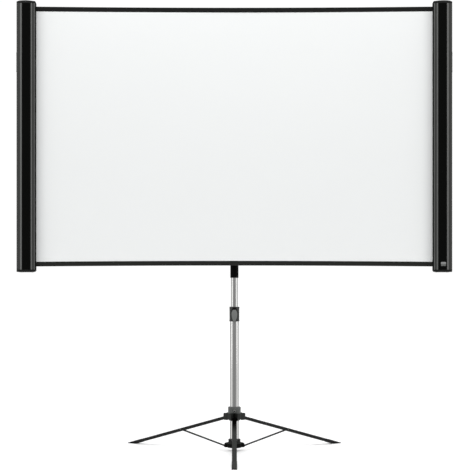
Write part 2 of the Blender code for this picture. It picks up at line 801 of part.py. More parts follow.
def make_brace(side):
    """A flat bar with an eye at each end, from the lower hub to the middle of a leg."""
    start = leg_frame(side) @ Matrix.Translation((pivot_radius, 0, lower_pivot_height))
    frame = across_frame(start @ Matrix.Rotation(-rest_angle, 4, "Y"))
    half = brace_width / 2
    turn = math.degrees(math.asin(brace_depth / 2 / brace_eye_radius))
    outline = arc((0, 0), brace_eye_radius, turn, 360 - turn, 14)
    outline += arc((brace_length, 0), brace_eye_radius, turn - 180, 180 - turn, 14)
    brace = extruded(outline, -half, half, frame)
    holes = [
        rod(pin_radius + gap, -brace_width, brace_width, frame @ Matrix.Translation((x, 0, 0)))
        for x in (0, brace_length)
    ]
    placed(cut(brace, *holes), "brace_" + side, "leg_grey", "brace_" + side)
    reach = leg_width / 2 + gap
    middle = pivot_frame(side, mid_pivot_radius, mid_pivot_height)
    pin = headed_pin(pin_radius, pin_head_radius, pin_head, reach, middle)
    placed(pin, "leg_pin_" + side, "plated_steel", "leg_" + side)


# Screen: spine, arms and sliders


def screen_frame():
    """Outlines in (x, z), extruded back from the front of the housings."""
    turn = Matrix(((1, 0, 0, 0), (0, 0, 1, 0), (0, 1, 0, 0), (0, 0, 0, 1)))
    return Matrix.Translation((0, front_y, 0)) @ turn


def channel_outline(width, wall, depth, centre, front, back):
    """A channel open to the front, as (x, y) points; its two lips turn in over what slides in it."""
    half = width / 2
    y0, y1 = front_y + front, front_y + back
    return [
        (centre - half, y0),
        (centre - half, y1),
        (centre + half, y1),
        (centre + half, y0),
        (centre + half - wall - depth, y0),
        (centre + half - wall - depth, y0 + wall),
        (centre + half - wall, y0 + wall),
        (centre + half - wall, y1 - wall),
        (centre - half + wall, y1 - wall),
        (centre - half + wall, y0 + wall),
        (centre - half + wall + depth, y0 + wall),
        (centre - half + wall + depth, y0),
    ]


def make_spine():
    """The upright channel behind the sheet that the arms fold against."""
    lip = block_edge
    outline = channel_outline(spine_width, spine_wall, lip, 0, spine_v, spine_back_v)
    bottom = neck_top + gap
    spine = extruded(outline, bottom, spine_top)
    placed(spine, "spine", "arm_aluminium", "height_slide", smooth=False)
    half = spine_width / 2 - spine_wall - gap
    front, back = front_y + spine_v + spine_wall + gap, front_y + spine_back_v - spine_wall - gap
    low = (-half, front, arm_pivot_height - anchor_height / 2)
    high = (half, back, arm_pivot_height + anchor_height / 2)
    anchor = block(low, high, block_edge)
    across = [sign * spine_pivot_across for sign in sides.values()]
    pins = [arm_pin(x, arm_pivot_height, front_arm_v, spine_v + spine_wall * 2) for x in across]
    placed(fused(anchor, *pins), "arm_anchor", "plated_steel", "height_slide")


def arm_pin(x, z, front, back):
    """A pin from its head in front of an arm back to the block that holds it."""
    frame = screen_frame() @ Matrix.Translation((x, z, 0))
    head_start = front - gap - arm_head
    outline = [(0, head_start), (arm_head_radius, head_start), (arm_head_radius, front - gap)]
    outline += [(arm_pin_radius, front - gap), (arm_pin_radius, back), (0, back)]
    return turned(outline, frame, small_steps)


def make_centre_slider():
    """The block that runs in the spine and carries the inner ends of both back arms."""
    height = arm_pivot_height + arm_open_rise
    half = spine_width / 2 - spine_wall - gap
    front, back = front_y + spine_v + spine_wall + gap, front_y + spine_back_v - spine_wall - gap
    low = (-half, front, height - slider_height / 2)
    high = (half, back, height + slider_height / 2)
    slider = block(low, high, block_edge)
    across = [sign * spine_pivot_across for sign in sides.values()]
    pins = [arm_pin(x, height, back_arm_v, spine_v + spine_wall * 2) for x in across]
    placed(fused(slider, *pins), "centre_slider", "nylon", "centre_slider")


def make_arm(side, layer, rising):
    """One flat arm of a crossed pair; the rising one climbs from the spine to the housing."""
    sign = sides[side]
    inner = (sign * spine_pivot_across, arm_pivot_height + (0 if rising else arm_open_rise))
    angle = arm_open_angle if rising else -arm_open_angle
    turn = Matrix.Rotation(angle, 4, "Z")
    flip = Matrix.Scale(sign, 4, (1, 0, 0))
    frame = screen_frame() @ Matrix.Translation((inner[0], inner[1], 0)) @ flip @ turn
    half = arm_width / 2
    outline = arc((arm_length, 0), half, -90, 90, 8) + arc((0, 0), half, 90, 270, 8)
    arm = extruded(outline, layer, layer + arm_thickness)
    holes = []
    for x in (0, arm_length / 2, arm_length):
        spot = Matrix.Translation((x, 0, 0))
        holes.append(rod(arm_pin_radius + gap, layer - overrun, layer + arm_thickness + overrun, spot))
    arm = moved(cut(arm, *holes), frame)
    kind = "front" if rising else "back"
    name = "arm_" + kind + "_" + side
    placed(arm, name, "arm_aluminium", name, smooth=False)


def make_arm_rivet(side):
    """The rivet where a pair of arms cross."""
    x = sides[side] * (spine_pivot_across + arm_open_width / 2)
    z = arm_pivot_height + arm_open_rise / 2
    frame = screen_frame() @ Matrix.Translation((x, z, (front_arm_v + back_arm_v + arm_thickness) / 2))
    reach = (back_arm_v + arm_thickness - front_arm_v) / 2 + gap
    rivet = headed_pin(arm_pin_radius, arm_head_radius, arm_head, reach, frame)
    placed(rivet, "arm_rivet_" + side, "plated_steel", "arm_front_" + side)


# Screen: housings


def section_point(side, u, v):
    sign = sides[side]
    return (sign * (half_width - u), front_y + v)


def section(side, points):
    return [section_point(side, u, v) for u, v in points]


def shoulder_line(inset):
    """The curve of a housing's outer front corner, drawn in by inset, from its foot to the front."""
    across, back = shoulder_width - inset, shoulder_drop - inset * thick_wall_share
    angles = [math.pi / 2 * step / shoulder_steps for step in range(shoulder_steps + 1)]
    return [(shoulder_width - across * math.cos(a), shoulder_drop - back * math.sin(a)) for a in angles]


def front_line():
    """The outer line of a housing's front, from the shoulder's foot to the inner front corner."""
    strip_start = shoulder_width + ridge_width
    strip_end = strip_start + strip_width
    points = shoulder_line(0)
    points += [(strip_start, 0), (strip_start, strip_depth), (strip_end, strip_depth), (strip_end, 0)]
    ridge_end = strip_end + inner_ridge_width
    points += [(ridge_end, 0), (ridge_end + block_edge, block_edge)]
    centre = (housing_width - inner_corner, inner_corner + block_edge)
    points += [(u, v) for u, v in arc(centre, inner_corner, -90, 0, 4)]
    return points


def inset_line():
    """The same line on the inside of the front shell's wall."""
    wall = housing_wall
    strip_start = shoulder_width + ridge_width
    strip_end = strip_start + strip_width
    points = shoulder_line(wall)
    points += [(strip_start - wall, wall * thick_wall_share), (strip_start - wall / 2, strip_depth + wall)]
    points += [(strip_end + wall / 2, strip_depth + wall), (strip_end + inner_ridge_width, wall + block_edge)]
    centre = (housing_width - inner_corner, inner_corner + block_edge)
    points += [(u, v) for u, v in arc(centre, inner_corner - wall, -90, 0, 3)]
    return points


def make_front_shell(side):
    """The roller's bay: an extruded section, open only at the slot where the sheet comes out."""
    slot_front = sheet_setback - sheet_thickness / 2 - slot_width / 2
    slot_back = slot_front + slot_width
    wall, width = housing_wall, housing_width
    outer = front_line() + [(width, slot_front), (width - wall, slot_front)]
    inner = list(reversed(inset_line()))
    back = [(wall, bay_back - bay_wall), (bay_back_width - wall, bay_back - bay_wall)]
    back += [(width - wall, slot_back)]
    close = [(width, slot_back), (bay_back_width, bay_back), (0, bay_back)]
    shell = extruded(section(side, outer + inner + back + close), body_bottom + gap, body_top - gap)
    placed(shell, "front_shell_" + side, "housing_black", "housing_" + side)


def make_rear_shell(side):
    """The cover behind the arms, with the boss that the housing swings on and its slider's track."""
    wall, corner = housing_wall, back_corner
    start = bay_back + gap
    centre = (corner, housing_depth - corner)
    outer = [(0, start)] + arc(centre, corner, 180, 90, 4) + [(rear_width, housing_depth)]
    inner = [(rear_width, housing_depth - wall)] + arc(centre, corner - wall, 90, 180, 3) + [(wall, start)]
    shell = extruded(section(side, outer + inner), body_bottom + gap, body_top - gap)
    frame = screen_frame() @ Matrix.Translation((sides[side] * housing_pivot_x, arm_pivot_height, 0))
    foot = housing_depth - wall / 2
    outline = [(0, back_arm_v - gap - arm_head), (arm_head_radius, back_arm_v - gap - arm_head)]
    outline += [(arm_head_radius, back_arm_v - gap), (arm_pin_radius, back_arm_v - gap)]
    shoulder = back_arm_v + arm_thickness + gap
    outline += [(arm_pin_radius, shoulder), (arm_width / 2, shoulder), (arm_width / 2, foot), (0, foot)]
    boss = turned(outline, frame, small_steps)
    shell = fused(shell, boss, make_track(side))
    placed(shell, "rear_shell_" + side, "housing_black", "housing_" + side)


def track_span():
    low = arm_pivot_height + arm_open_rise - track_below
    high = arm_pivot_height + arm_closed_height + track_above
    return low, min(high, body_top - gap * 2)


def make_track(side):
    """The channel inside the rear shell in which the housing's slider runs."""
    back = housing_depth - housing_wall / 2
    centre = sides[side] * housing_pivot_x
    outline = channel_outline(track_width, track_wall, block_edge, centre, back - track_depth, back)
    return extruded(outline, *track_span())


def make_slider(side):
    """The block in that channel, with the pin for the front arm's outer end."""
    x, z = sides[side] * housing_pivot_x, arm_pivot_height + arm_open_rise
    back_v = housing_depth - housing_wall / 2
    half = track_width / 2 - track_wall - gap
    front = front_y + back_v - track_depth + track_wall + gap
    back = front_y + back_v - track_wall - gap
    low, high = z - slider_height / 2, z + slider_height / 2
    slider = block((x - half, front, low), (x + half, back, high), block_edge)
    pin = arm_pin(x, z, front_arm_v, back_v - track_depth + track_wall * 2)
    placed(fused(slider, pin), "slider_" + side, "nylon", "slider_" + side)


def cap_section(side):
    """The whole outline of a housing, with its inner corners rounded."""
    points = shoulder_line(0)
    centre = (housing_width - inner_corner, inner_corner)
    points += arc(centre, inner_corner, -90, 0, 4)
    points += [(housing_width, sheet_setback + slot_width / 2)]
    points += [(bay_back_width, bay_back), (rear_width, housing_depth)]
    points += arc((back_corner, housing_depth - back_corner), back_corner, 90, 180, 4)
    return section(side, points)


def stub_frame(side):
    return Matrix.Translation((sides[side] * (half_width - roller_across), front_y + roller_back, 0))


def make_caps(side):
    """The two end caps, which carry the roller's stubs; the upper one has a raised bumper."""
    seat = stub_radius + gap
    top = extruded(cap_section(side), body_top, housing_top)
    bevel_top(top)
    hole = rod(seat, body_top - overrun, body_top + stub_length + gap, stub_frame(side))
    placed(cut(fused(top, cap_bump(side)), hole), "top_cap_" + side, "cap_grey", "housing_" + side)
    low = extruded(cap_section(side), housing_bottom, body_bottom)
    bevel_top(low)
    neck_room = neck_radius + slide_gap * 3
    closed_x = sides[side] * (half_image - closing_gap / 2)
    notch_frame = Matrix.Translation((closed_x, pole_y, 0))
    notch = rod(neck_room, housing_bottom - overrun, body_bottom + overrun, notch_frame, fine_steps)
    hole = rod(seat, body_bottom - stub_length - gap, body_bottom + overrun, stub_frame(side))
    placed(cut(low, notch, hole), "bottom_cap_" + side, "cap_grey", "housing_" + side)


def bevel_top(thing):
    """Softens the long outer edges of an end cap."""
    bm = bmesh.new()
    bm.from_mesh(thing.data)
    heights = [vertex.co.z for vertex in bm.verts]
    outer = max(heights) if max(heights) >= housing_top - gap else min(heights)
    edges = [e for e in bm.edges if all(abs(v.co.z - outer) < gap for v in e.verts)]
    bmesh.ops.bevel(bm, geom=edges, offset=cap_edge, segments=2, affect="EDGES")
    bm.to_mesh(thing.data)
    bm.free()


def cap_bump(side):
    """The low pad on an upper cap: arched across, level along its depth, buried a little in the cap."""
    middle = Matrix.Translation((*section_point(side, housing_width / 2, housing_depth / 2), 0))
    plan_frame = middle @ Matrix.Diagonal((bump_plan_share, bump_plan_share, 1, 1)) @ middle.inverted()
    plan = extruded(cap_section(side), housing_top - overrun, housing_top + bump_height * 2, plan_frame)
    crown = section_point(side, bump_across, 0)[0]
    half = bump_width / 2
    points = [(crown - half, body_top), (crown + half, body_top)]
    for step in range(bump_steps, -bump_steps - 1, -1):
        share = step / bump_steps
        points.append((crown + half * share, housing_top + bump_height * (1 - share * share * bump_fall_share)))
    arch = extruded(points, -overrun, housing_depth + overrun, screen_frame())
    return combined(arch, [plan], "INTERSECT")


def make_front_strip(side):
    """The black strip let into the front of a housing."""
    start = shoulder_width + ridge_width + gap
    end = shoulder_width + ridge_width + strip_width - gap
    x0, y0 = section_point(side, start, 0)
    x1, y1 = section_point(side, end, strip_depth - gap)
    low = (min(x0, x1), y0 + gap, body_bottom + gap * 2)
    high = (max(x0, x1), y1, body_top - gap * 2)
    placed(block(low, high), "front_strip_" + side, "strip_black", "housing_" + side, smooth=False)


def make_grip(side):
    """The thin pad on the outer side of a housing, near its top."""
    sign = sides[side]
    outer = half_width + gap
    x0, x1 = sorted((sign * outer, sign * (outer + grip_thickness)))
    middle = front_y + shoulder_drop + (housing_depth - shoulder_drop - back_corner) / 2
    low_y, high_y = middle - grip_width / 2, middle + grip_width / 2
    low_z, high_z = grip_centre_height - grip_height / 2, grip_centre_height + grip_height / 2
    pad = block((x0, low_y, low_z), (x1, high_y, high_z), grip_edge)
    placed(pad, "side_grip_" + side, "grip_grey", "housing_" + side)


def make_roller(side):
    """The spring roller: its tube, the plugs that turn on the caps, and the spring within."""
    frame = stub_frame(side)
    low, high = body_bottom + roller_end_gap, body_top - roller_end_gap
    bore = roller_radius - roller_wall
    tube = ring(bore, roller_radius, low, high, frame)
    placed(tube, "roller_tube_" + side, "roller_tube", "roller_" + side)
    low_tip, high_tip = body_bottom - stub_length + gap, body_top + stub_length - gap
    stubs = {"lower": (low, 1, low_tip), "upper": (high, -1, high_tip)}
    for which, (end, inward, tip) in stubs.items():
        lip, inner = end + inward * roller_wall, end + inward * plug_length
        start, stop = sorted((lip, inner))
        plug = rod(bore - gap, start, stop, frame)
        start, stop = sorted((tip, lip + inward * roller_wall))
        plug = fused(plug, rod(stub_radius, start, stop, frame))
        placed(plug, f"{which}_roller_plug_{side}", "nylon", "roller_" + side)
    seat = low + plug_length + spring_wire / 2 + gap
    make_spring(side, frame @ Matrix.Translation((0, 0, seat)))


def make_spring(side, frame):
    """The torsion spring that winds the sheet in, a helix of round wire."""
    curve = bpy.data.curves.new("winding_spring", "CURVE")
    curve.dimensions = "3D"
    count = spring_turns * spring_steps
    line = curve.splines.new("POLY")
    line.points.add(count)
    for i, point in enumerate(line.points):
        angle = 2 * math.pi * i / spring_steps
        rise = spring_pitch * i / spring_steps
        spot = frame @ Vector((spring_radius * math.cos(angle), spring_radius * math.sin(angle), rise))
        point.co = (*spot, 1)
    curve.bevel_depth = spring_wire / 2
    curve.bevel_resolution = 0
    curve.use_fill_caps = True
    curve.resolution_u = 1
    coil = bpy.data.objects.new("coil", curve)
    bpy.context.scene.collection.objects.link(coil)
    mesh = bpy.data.meshes.new_from_object(coil.evaluated_get(bpy.context.evaluated_depsgraph_get()))
    bpy.data.objects.remove(coil, do_unlink=True)
    bm = bmesh.new()
    bm.from_mesh(mesh)
    bmesh.ops.remove_doubles(bm, verts=bm.verts, dist=spring_wire / 100)
    placed(from_bmesh(bm), "winding_spring_" + side, "plated_steel", "roller_" + side)


# Screen: sheet


def sheet_edge(x, upper, outset):
    """The height of the sheet's edge at x; both edges bow inwards between the housings."""
    share = (x / half_image) ** 2
    if upper:
        return image_bottom + image_height + corner_rise * share + outset
    return image_bottom - edge_bow * share - outset


def band(low_edge, high_edge, reach, name, material):
    """A thin upright sheet between two edges, each given as (upper, outset)."""
    bm = bmesh.new()
    xs = [-reach + 2 * reach * i / sheet_columns for i in range(sheet_columns + 1)]
    low = [bm.verts.new((x, sheet_y - sheet_thickness, sheet_edge(x, *low_edge))) for x in xs]
    high = [bm.verts.new((x, sheet_y - sheet_thickness, sheet_edge(x, *high_edge))) for x in xs]
    faces = [bm.faces.new((low[i], low[i + 1], high[i + 1], high[i])) for i in range(sheet_columns)]
    grown = bmesh.ops.extrude_face_region(bm, geom=faces)
    back = [part for part in grown["geom"] if isinstance(part, bmesh.types.BMVert)]
    bmesh.ops.translate(bm, verts=back, vec=(0, sheet_thickness, 0))
    placed(from_bmesh(bm), name, material, "height_slide", smooth=False)


def make_sheet():
    reach = half_width - roller_across
    band((False, 0), (True, 0), reach, "screen_sheet", "white_fabric")
    band((True, gap), (True, border_width), reach, "upper_border", "border_black")
    band((False, border_width), (False, gap), reach, "lower_border", "border_black")


def build():
    clear_scene()
    find_joints()
    make_lower_pole()
    make_guide_bush()
    make_latch_collar()
    make_latch_lever()
    make_upper_pole()
    make_neck()
    make_upper_hub()
    make_hub_bolt()
    make_lower_hub()
    for side in leg_angles:
        make_leg(side)
        make_foot(side)
        make_brace(side)
    make_spine()
    make_centre_slider()
    for side in sides:
        make_arm(side, front_arm_v, True)
        make_arm(side, back_arm_v, False)
        make_arm_rivet(side)
        make_front_shell(side)
        make_rear_shell(side)
        make_slider(side)
        make_caps(side)
        make_front_strip(side)
        make_grip(side)
        make_roller(side)
    make_sheet()


build()
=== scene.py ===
import math

import bmesh
import bpy
from mathutils import Matrix, Vector
from mathutils.geometry import convex_hull_2d


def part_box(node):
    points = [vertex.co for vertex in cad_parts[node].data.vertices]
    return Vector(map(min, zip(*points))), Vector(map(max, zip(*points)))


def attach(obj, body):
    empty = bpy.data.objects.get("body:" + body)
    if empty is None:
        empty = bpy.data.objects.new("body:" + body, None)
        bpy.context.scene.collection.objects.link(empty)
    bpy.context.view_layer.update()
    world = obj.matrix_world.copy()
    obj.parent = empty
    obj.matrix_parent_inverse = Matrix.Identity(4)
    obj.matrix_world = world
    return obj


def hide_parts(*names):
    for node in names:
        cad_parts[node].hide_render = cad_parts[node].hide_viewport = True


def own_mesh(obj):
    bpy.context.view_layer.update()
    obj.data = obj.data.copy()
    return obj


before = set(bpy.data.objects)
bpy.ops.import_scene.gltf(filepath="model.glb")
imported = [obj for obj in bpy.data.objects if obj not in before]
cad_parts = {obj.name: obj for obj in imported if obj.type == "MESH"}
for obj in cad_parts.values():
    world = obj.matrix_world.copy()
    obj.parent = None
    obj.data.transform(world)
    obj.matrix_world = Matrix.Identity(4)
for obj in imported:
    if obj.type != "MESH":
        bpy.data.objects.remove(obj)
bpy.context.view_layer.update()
print("frame loaded:", len(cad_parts), "nodes")


# Places that the pieces share, read from the frame
def spanOf(node):
    low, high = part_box(node)
    return low, high, (low + high) / 2


poleY = spanOf("lower_pole")[2].y
mastPlace = Matrix.Translation((0, poleY, 0))
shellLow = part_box("front_shell_left")[0]
frontY, halfWidth = shellLow.y, -shellLow.x
housingWidth = 0.0845
sheetLow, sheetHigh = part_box("screen_sheet")
sheetY = sheetHigh.y
sides = {"left": -1, "right": 1}
legAngles = {"front": math.radians(-90), "left": math.radians(150), "right": math.radians(30)}


def legPlace(side):  # local X runs out along the floor from the pole, local Y across and local Z up
    return mastPlace @ Matrix.Rotation(legAngles[side], 4, "Z")


def nodePoints(node, place):  # a node's points, seen from a place
    flat = place.inverted()
    return [flat @ v.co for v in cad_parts[node].data.vertices]


legEnds = nodePoints("leg_front", legPlace("front"))
legFar, legLow = max(legEnds, key=lambda p: p.x), min(legEnds, key=lambda p: p.z)
legTilt = math.atan2(legFar.x - legLow.x, legFar.z - legLow.z)


class Signal:  # one value in a material; sums and products on it add Math nodes
    def __init__(self, paint, socket):
        self.paint = paint
        self.socket = socket

    def math(self, operation, *values):
        return self.paint.node("ShaderNodeMath", {"operation": operation}, dict(enumerate(values)))

    def __add__(self, other):
        return self.math("ADD", self, other)

    def __sub__(self, other):
        return self.math("SUBTRACT", self, other)

    def __rsub__(self, other):
        return self.math("SUBTRACT", other, self)

    def __mul__(self, other):
        return self.math("MULTIPLY", self, other)

    __radd__ = __add__


class Paint:  # the nodes of one material, or of the studio's surroundings
    def __init__(self, name, owner=None):
        self.material = owner or bpy.data.materials.new(name)
        self.material.use_nodes = True
        self.tree = self.material.node_tree
        self.place = None if owner else self.node("ShaderNodeTexCoord", out="Object")

    def node(self, kind, settings=None, sockets=None, out=0):
        made = self.tree.nodes.new(kind)
        for key, value in (settings or {}).items():
            setattr(made, key, value)
        for key, value in (sockets or {}).items():
            if isinstance(value, Signal):
                self.tree.links.new(value.socket, made.inputs[key])
            else:
                made.inputs[key].default_value = value
        return Signal(self, made.outputs[out])

    def vector(self, operation, *values, out=0):
        return self.node("ShaderNodeVectorMath", {"operation": operation}, dict(enumerate(values)), out)

    def part(self, axis):
        return self.node("ShaderNodeSeparateXYZ", {}, {0: self.place}, out=axis)

    def noise(self, place, scale, detail=2, roughness=0.5):
        sockets = {"Vector": place, "Scale": scale, "Detail": detail, "Roughness": roughness}
        return self.node("ShaderNodeTexNoise", {}, sockets)

    def between(self, value, low, high, first=0.0, second=1.0):  # a soft step from first to second
        sockets = {"Value": value, "From Min": low, "From Max": high, "To Min": first, "To Max": second}
        return self.node("ShaderNodeMapRange", {"interpolation_type": "SMOOTHSTEP"}, sockets)

    def tint(self, mask, first, second):  # colours are (red, green, blue)
        ends = [c if isinstance(c, Signal) else (*c, 1) for c in (first, second)]
        return self.node("ShaderNodeMix", {"data_type": "RGBA"}, {0: mask, 6: ends[0], 7: ends[1]}, out=2)

    def shades(self, mask, colour, darker, lighter):  # from a darker share of a colour to a lighter one
        return self.tint(mask, tuple(part * darker for part in colour), tuple(part * lighter for part in colour))

    def masked(self, colour, look):  # another colour where the look's mask is
        if "mask" not in look:
            return colour
        mask, other = look["mask"]
        return self.tint(mask(self), colour, other)

    def drawn(self, axis, fine, along):  # the place, stretched along an axis, for lines that run that way
        length = self.vector("DOT_PRODUCT", self.place, axis, out="Value")
        wide = self.vector("SCALE", self.place)
        self.tree.nodes[-1].inputs["Scale"].default_value = fine
        parts = {index: length * (part * (fine - along)) for index, part in enumerate(axis)}
        return self.vector("SUBTRACT", wide, self.node("ShaderNodeCombineXYZ", {}, parts))

    def relief(self, height, strength, distance):
        return self.node("ShaderNodeBump", {}, {"Height": height, "Strength": strength, "Distance": distance})

    def surface(self, **sockets):  # sets the shader's own sockets; spaces are written as underscores
        shader = self.tree.nodes["Principled BSDF"]
        for key, value in sockets.items():
            entry = shader.inputs[key.replace("_", " ")]
            if isinstance(value, Signal):
                self.tree.links.new(value.socket, entry)
            else:
                entry.default_value = (*value, 1) if isinstance(value, tuple) else value
        return self


def drawnMetal(name, look):  # tube, bar or section with fine lines along it
    paint = Paint(name)
    lines = paint.noise(paint.drawn(look.get("axis", (0, 0, 1)), 1400, 9), 1.0, 3, 0.6)
    clouds = paint.noise(paint.place, 11, 3)
    rubbed = paint.noise(paint.place, 55, 4, 0.7)
    colour = paint.shades(lines * 0.6 + clouds * 0.4, look["colour"], 1 - look["change"], 1 + look["change"])
    roughness = look["roughness"] + (lines - 0.5) * look["streak"] + (rubbed - 0.5) * look["wear"]
    relief = paint.relief(lines, look["relief"], 0.0004)
    return paint.surface(Base_Color=paint.masked(colour, look), Roughness=roughness, Metallic=look["metallic"],
                         Normal=relief, Specular_IOR_Level=look["specular"])


def mouldedPlastic(name, look):  # satin moulding with a fine grain, and dust where it faces up
    paint = Paint(name)
    grain = paint.noise(paint.place, look["grain"], 2, 0.6)
    clouds = paint.noise(paint.place, 24, 4, 0.6)
    facing = paint.node("ShaderNodeNewGeometry", out="Normal")
    upward = paint.node("ShaderNodeSeparateXYZ", {}, {0: facing}, out="Z")
    dust = paint.between(upward, 0.55, 1.0) * paint.between(clouds, 0.35, 0.75) * look["dust"]
    base = paint.masked(paint.shades(clouds, look["colour"], 0.86, 1.14), look)
    roughness = look["roughness"] + (clouds - 0.5) * 0.16 + dust * 0.3
    return paint.surface(Base_Color=paint.tint(dust, base, (0.32, 0.31, 0.29)), Roughness=roughness,
                         Normal=paint.relief(grain, look["relief"], 0.0006), Specular_IOR_Level=look["specular"])


def platedSteel(name, look):
    paint = Paint(name)
    flecks = paint.node("ShaderNodeTexVoronoi", {}, {"Vector": paint.place, "Scale": 420.0})
    clouds = paint.noise(paint.place, 90, 4, 0.65)
    return paint.surface(Base_Color=paint.shades(clouds, look["colour"], 0.8, 1.15), Metallic=1.0,
                         Roughness=look["roughness"] + (clouds - 0.5) * 0.25,
                         Normal=paint.relief(flecks, 0.08, 0.0003))


def wovenCloth(name, look):  # threads both ways under a thin coating
    paint = Paint(name)
    threads = [
        paint.node("ShaderNodeTexWave", {"wave_type": "BANDS", "bands_direction": way},
                   {"Vector": paint.place, "Scale": look["threads"], "Distortion": 0.6, "Detail": 1.0}, out="Fac")
        for way in ("X", "Z")
    ]
    weave = threads[0] * threads[1]
    slubs = paint.noise(paint.drawn((0, 0, 1), 160, 14), 1.0, 3)
    clouds = paint.noise(paint.place, 3.5, 3)
    mask = weave * 0.35 + slubs * 0.25 + clouds * 0.4
    colour = paint.shades(mask, look["colour"], 1 - look["change"], 1 + look["change"])
    relief = paint.relief(weave + slubs * 0.4, look["relief"], 0.0003)
    return paint.surface(Base_Color=paint.masked(colour, look), Roughness=look["roughness"] - weave * 0.08,
                         Normal=relief, Specular_IOR_Level=0.1)


def hingeRecessShade(paint):  # painted shade: a black arch painted on the front of the collar, where the recess in which the lever is hinged lies in shade
    recess = {"half": 0.0122, "archDrop": 0.0118, "archRise": 0.0088, "footDrop": 0.0200, "footFall": 0.0020}
    x, y, z = (paint.part(axis) for axis in "XYZ")
    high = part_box("latch_collar")[1].z
    across = x * (1 / recess["half"])
    arch, low = z - (high - recess["archDrop"]), (high - recess["footDrop"]) - z
    above = arch.math("MAXIMUM", arch, 0) * (1 / recess["archRise"])
    below = low.math("MAXIMUM", low, 0) * (1 / recess["footFall"])
    edge = z.math("SQRT", across * across + above * above + below * below)
    return paint.between(edge, 1.06, 0.94) * paint.between(y, poleY - 0.004, poleY - 0.008)


fades = {"label": (0.8180, 0.8215), "sole": (0.0065, 0.0045), "cloth": (0.815, 0.868), "root": (-0.225, -0.105)}


def upperHalf(paint):  # the lighter upper half of the plain label
    return paint.between(paint.part("Z"), *fades["label"])


def soleLine(paint):  # near black along the lowest few millimetres of a foot
    return paint.between(paint.part("Z"), *fades["sole"])


def besideHousings(paint):  # the cloth lies in shade where it comes out of the housings
    x = paint.part("X")
    return paint.between(x.math("ABSOLUTE", x), *fades["cloth"])


def darkRoot(paint):  # the dark end of the front leg, in the hub's shade
    return paint.between(paint.part("Y"), *(poleY + edge for edge in fades["root"]))


jet = (0.0022, 0.0023, 0.0019)
# Each group names its kind of paint and its fields; each row gives a material's name and the values in that order
looks = (
    (drawnMetal, ("colour", "change", "roughness", "streak", "wear", "relief", "metallic", "specular"), {
        "tube": ("polishedTube", (0.72, 0.72, 0.71), 0.03, 0.17, 0.08, 0.06, 0.03, 1.0, 0.5),
        "section": ("blackSection", (0.042, 0.043, 0.041), 0.10, 0.44, 0.16, 0.10, 0.04, 0.15, 0.15),
        # painted highlight: the ridge paint is a lighter copy of the section's colour
        "ridge": ("brightRidge", (0.138, 0.140, 0.136), 0.08, 0.38, 0.14, 0.10, 0.03, 0.2, 0.2),
        # painted shade: the lip paint is a darker copy for the inner wall that lies in shade
        "lip": ("sectionLip", (0.006, 0.0065, 0.006), 0.10, 0.50, 0.14, 0.10, 0.03, 0.0, 0.05),
        "strip": ("glossStrip", (0.0020, 0.0023, 0.0019), 0.10, 0.18, 0.05, 0.06, 0.01, 0.0, 0.08),
        "arm": ("armAluminium", (0.48, 0.48, 0.47), 0.06, 0.36, 0.14, 0.12, 0.05, 1.0, 0.5),
    }),
    (mouldedPlastic, ("colour", "roughness", "grain", "relief", "dust", "specular", "mask"), {
        "cap": ("capPlastic", (0.010, 0.0105, 0.010), 0.52, 900.0, 0.12, 0.05, 0.12),
        "bumper": ("bumperPlastic", (0.026, 0.0265, 0.026), 0.55, 700.0, 0.14, 0.02, 0.10),
        "grip": ("gripRubber", (0.030, 0.030, 0.026), 0.70, 1200.0, 0.30, 0.12, 0.15),
        "moulding": ("blackMoulding", jet, 0.55, 800.0, 0.12, 0.03, 0.05),
        "collar": ("collarMoulding", (0.040, 0.042, 0.041), 0.48, 800.0, 0.12, 0.05, 0.12, (hingeRecessShade, jet)),
        "hub": ("hubMoulding", (0.020, 0.021, 0.020), 0.46, 760.0, 0.14, 0.08, 0.12),
        "facePlate": ("hubFace", (0.085, 0.088, 0.085), 0.42, 760.0, 0.10, 0.04, 0.2),
        "lever": ("leverMoulding", (0.135, 0.140, 0.137), 0.40, 900.0, 0.08, 0.05, 0.3),
        "rubber": ("footRubber", (0.015, 0.015, 0.015), 0.78, 1100.0, 0.35, 0.10, 0.10, (soleLine, jet)),
        "nylon": ("paleNylon", (0.70, 0.69, 0.65), 0.50, 900.0, 0.08, 0.05, 0.5),
        "label": ("plainLabel", (0.115, 0.120, 0.115), 0.50, 1500.0, 0.04, 0.0, 0.2, (upperHalf, (0.26, 0.265, 0.26))),
    }),
    (platedSteel, ("colour", "roughness"), {
        "steel": ("platedSteel", (0.60, 0.59, 0.56), 0.28),
        "bolt": ("darkBolt", (0.44, 0.44, 0.43), 0.30),
        "rivet": ("darkRivet", (0.10, 0.10, 0.095), 0.42),
    }),
    (wovenCloth, ("colour", "change", "roughness", "threads", "relief", "mask"), {
        "cloth": ("screenCloth", (0.830, 0.844, 0.842), 0.012, 0.92, 210.0, 0.05,
                  (besideHousings, (0.7304, 0.74272, 0.74096))),
        # painted light and shade: both borders are the same black tape; the upper one gets a darker colour and the
        # lower one, lit from the floor, a lighter one
        "upperBorder": ("upperBorderTape", (0.0112, 0.0114, 0.0111), 0.18, 0.85, 130.0, 0.25),
        "lowerBorder": ("lowerBorderTape", (0.0182, 0.0188, 0.0170), 0.18, 0.85, 130.0, 0.25),
    }),
)
paints = {key: make(name, dict(zip(fields, values)))
          for make, fields, rows in looks for key, (name, *values) in rows.items()}
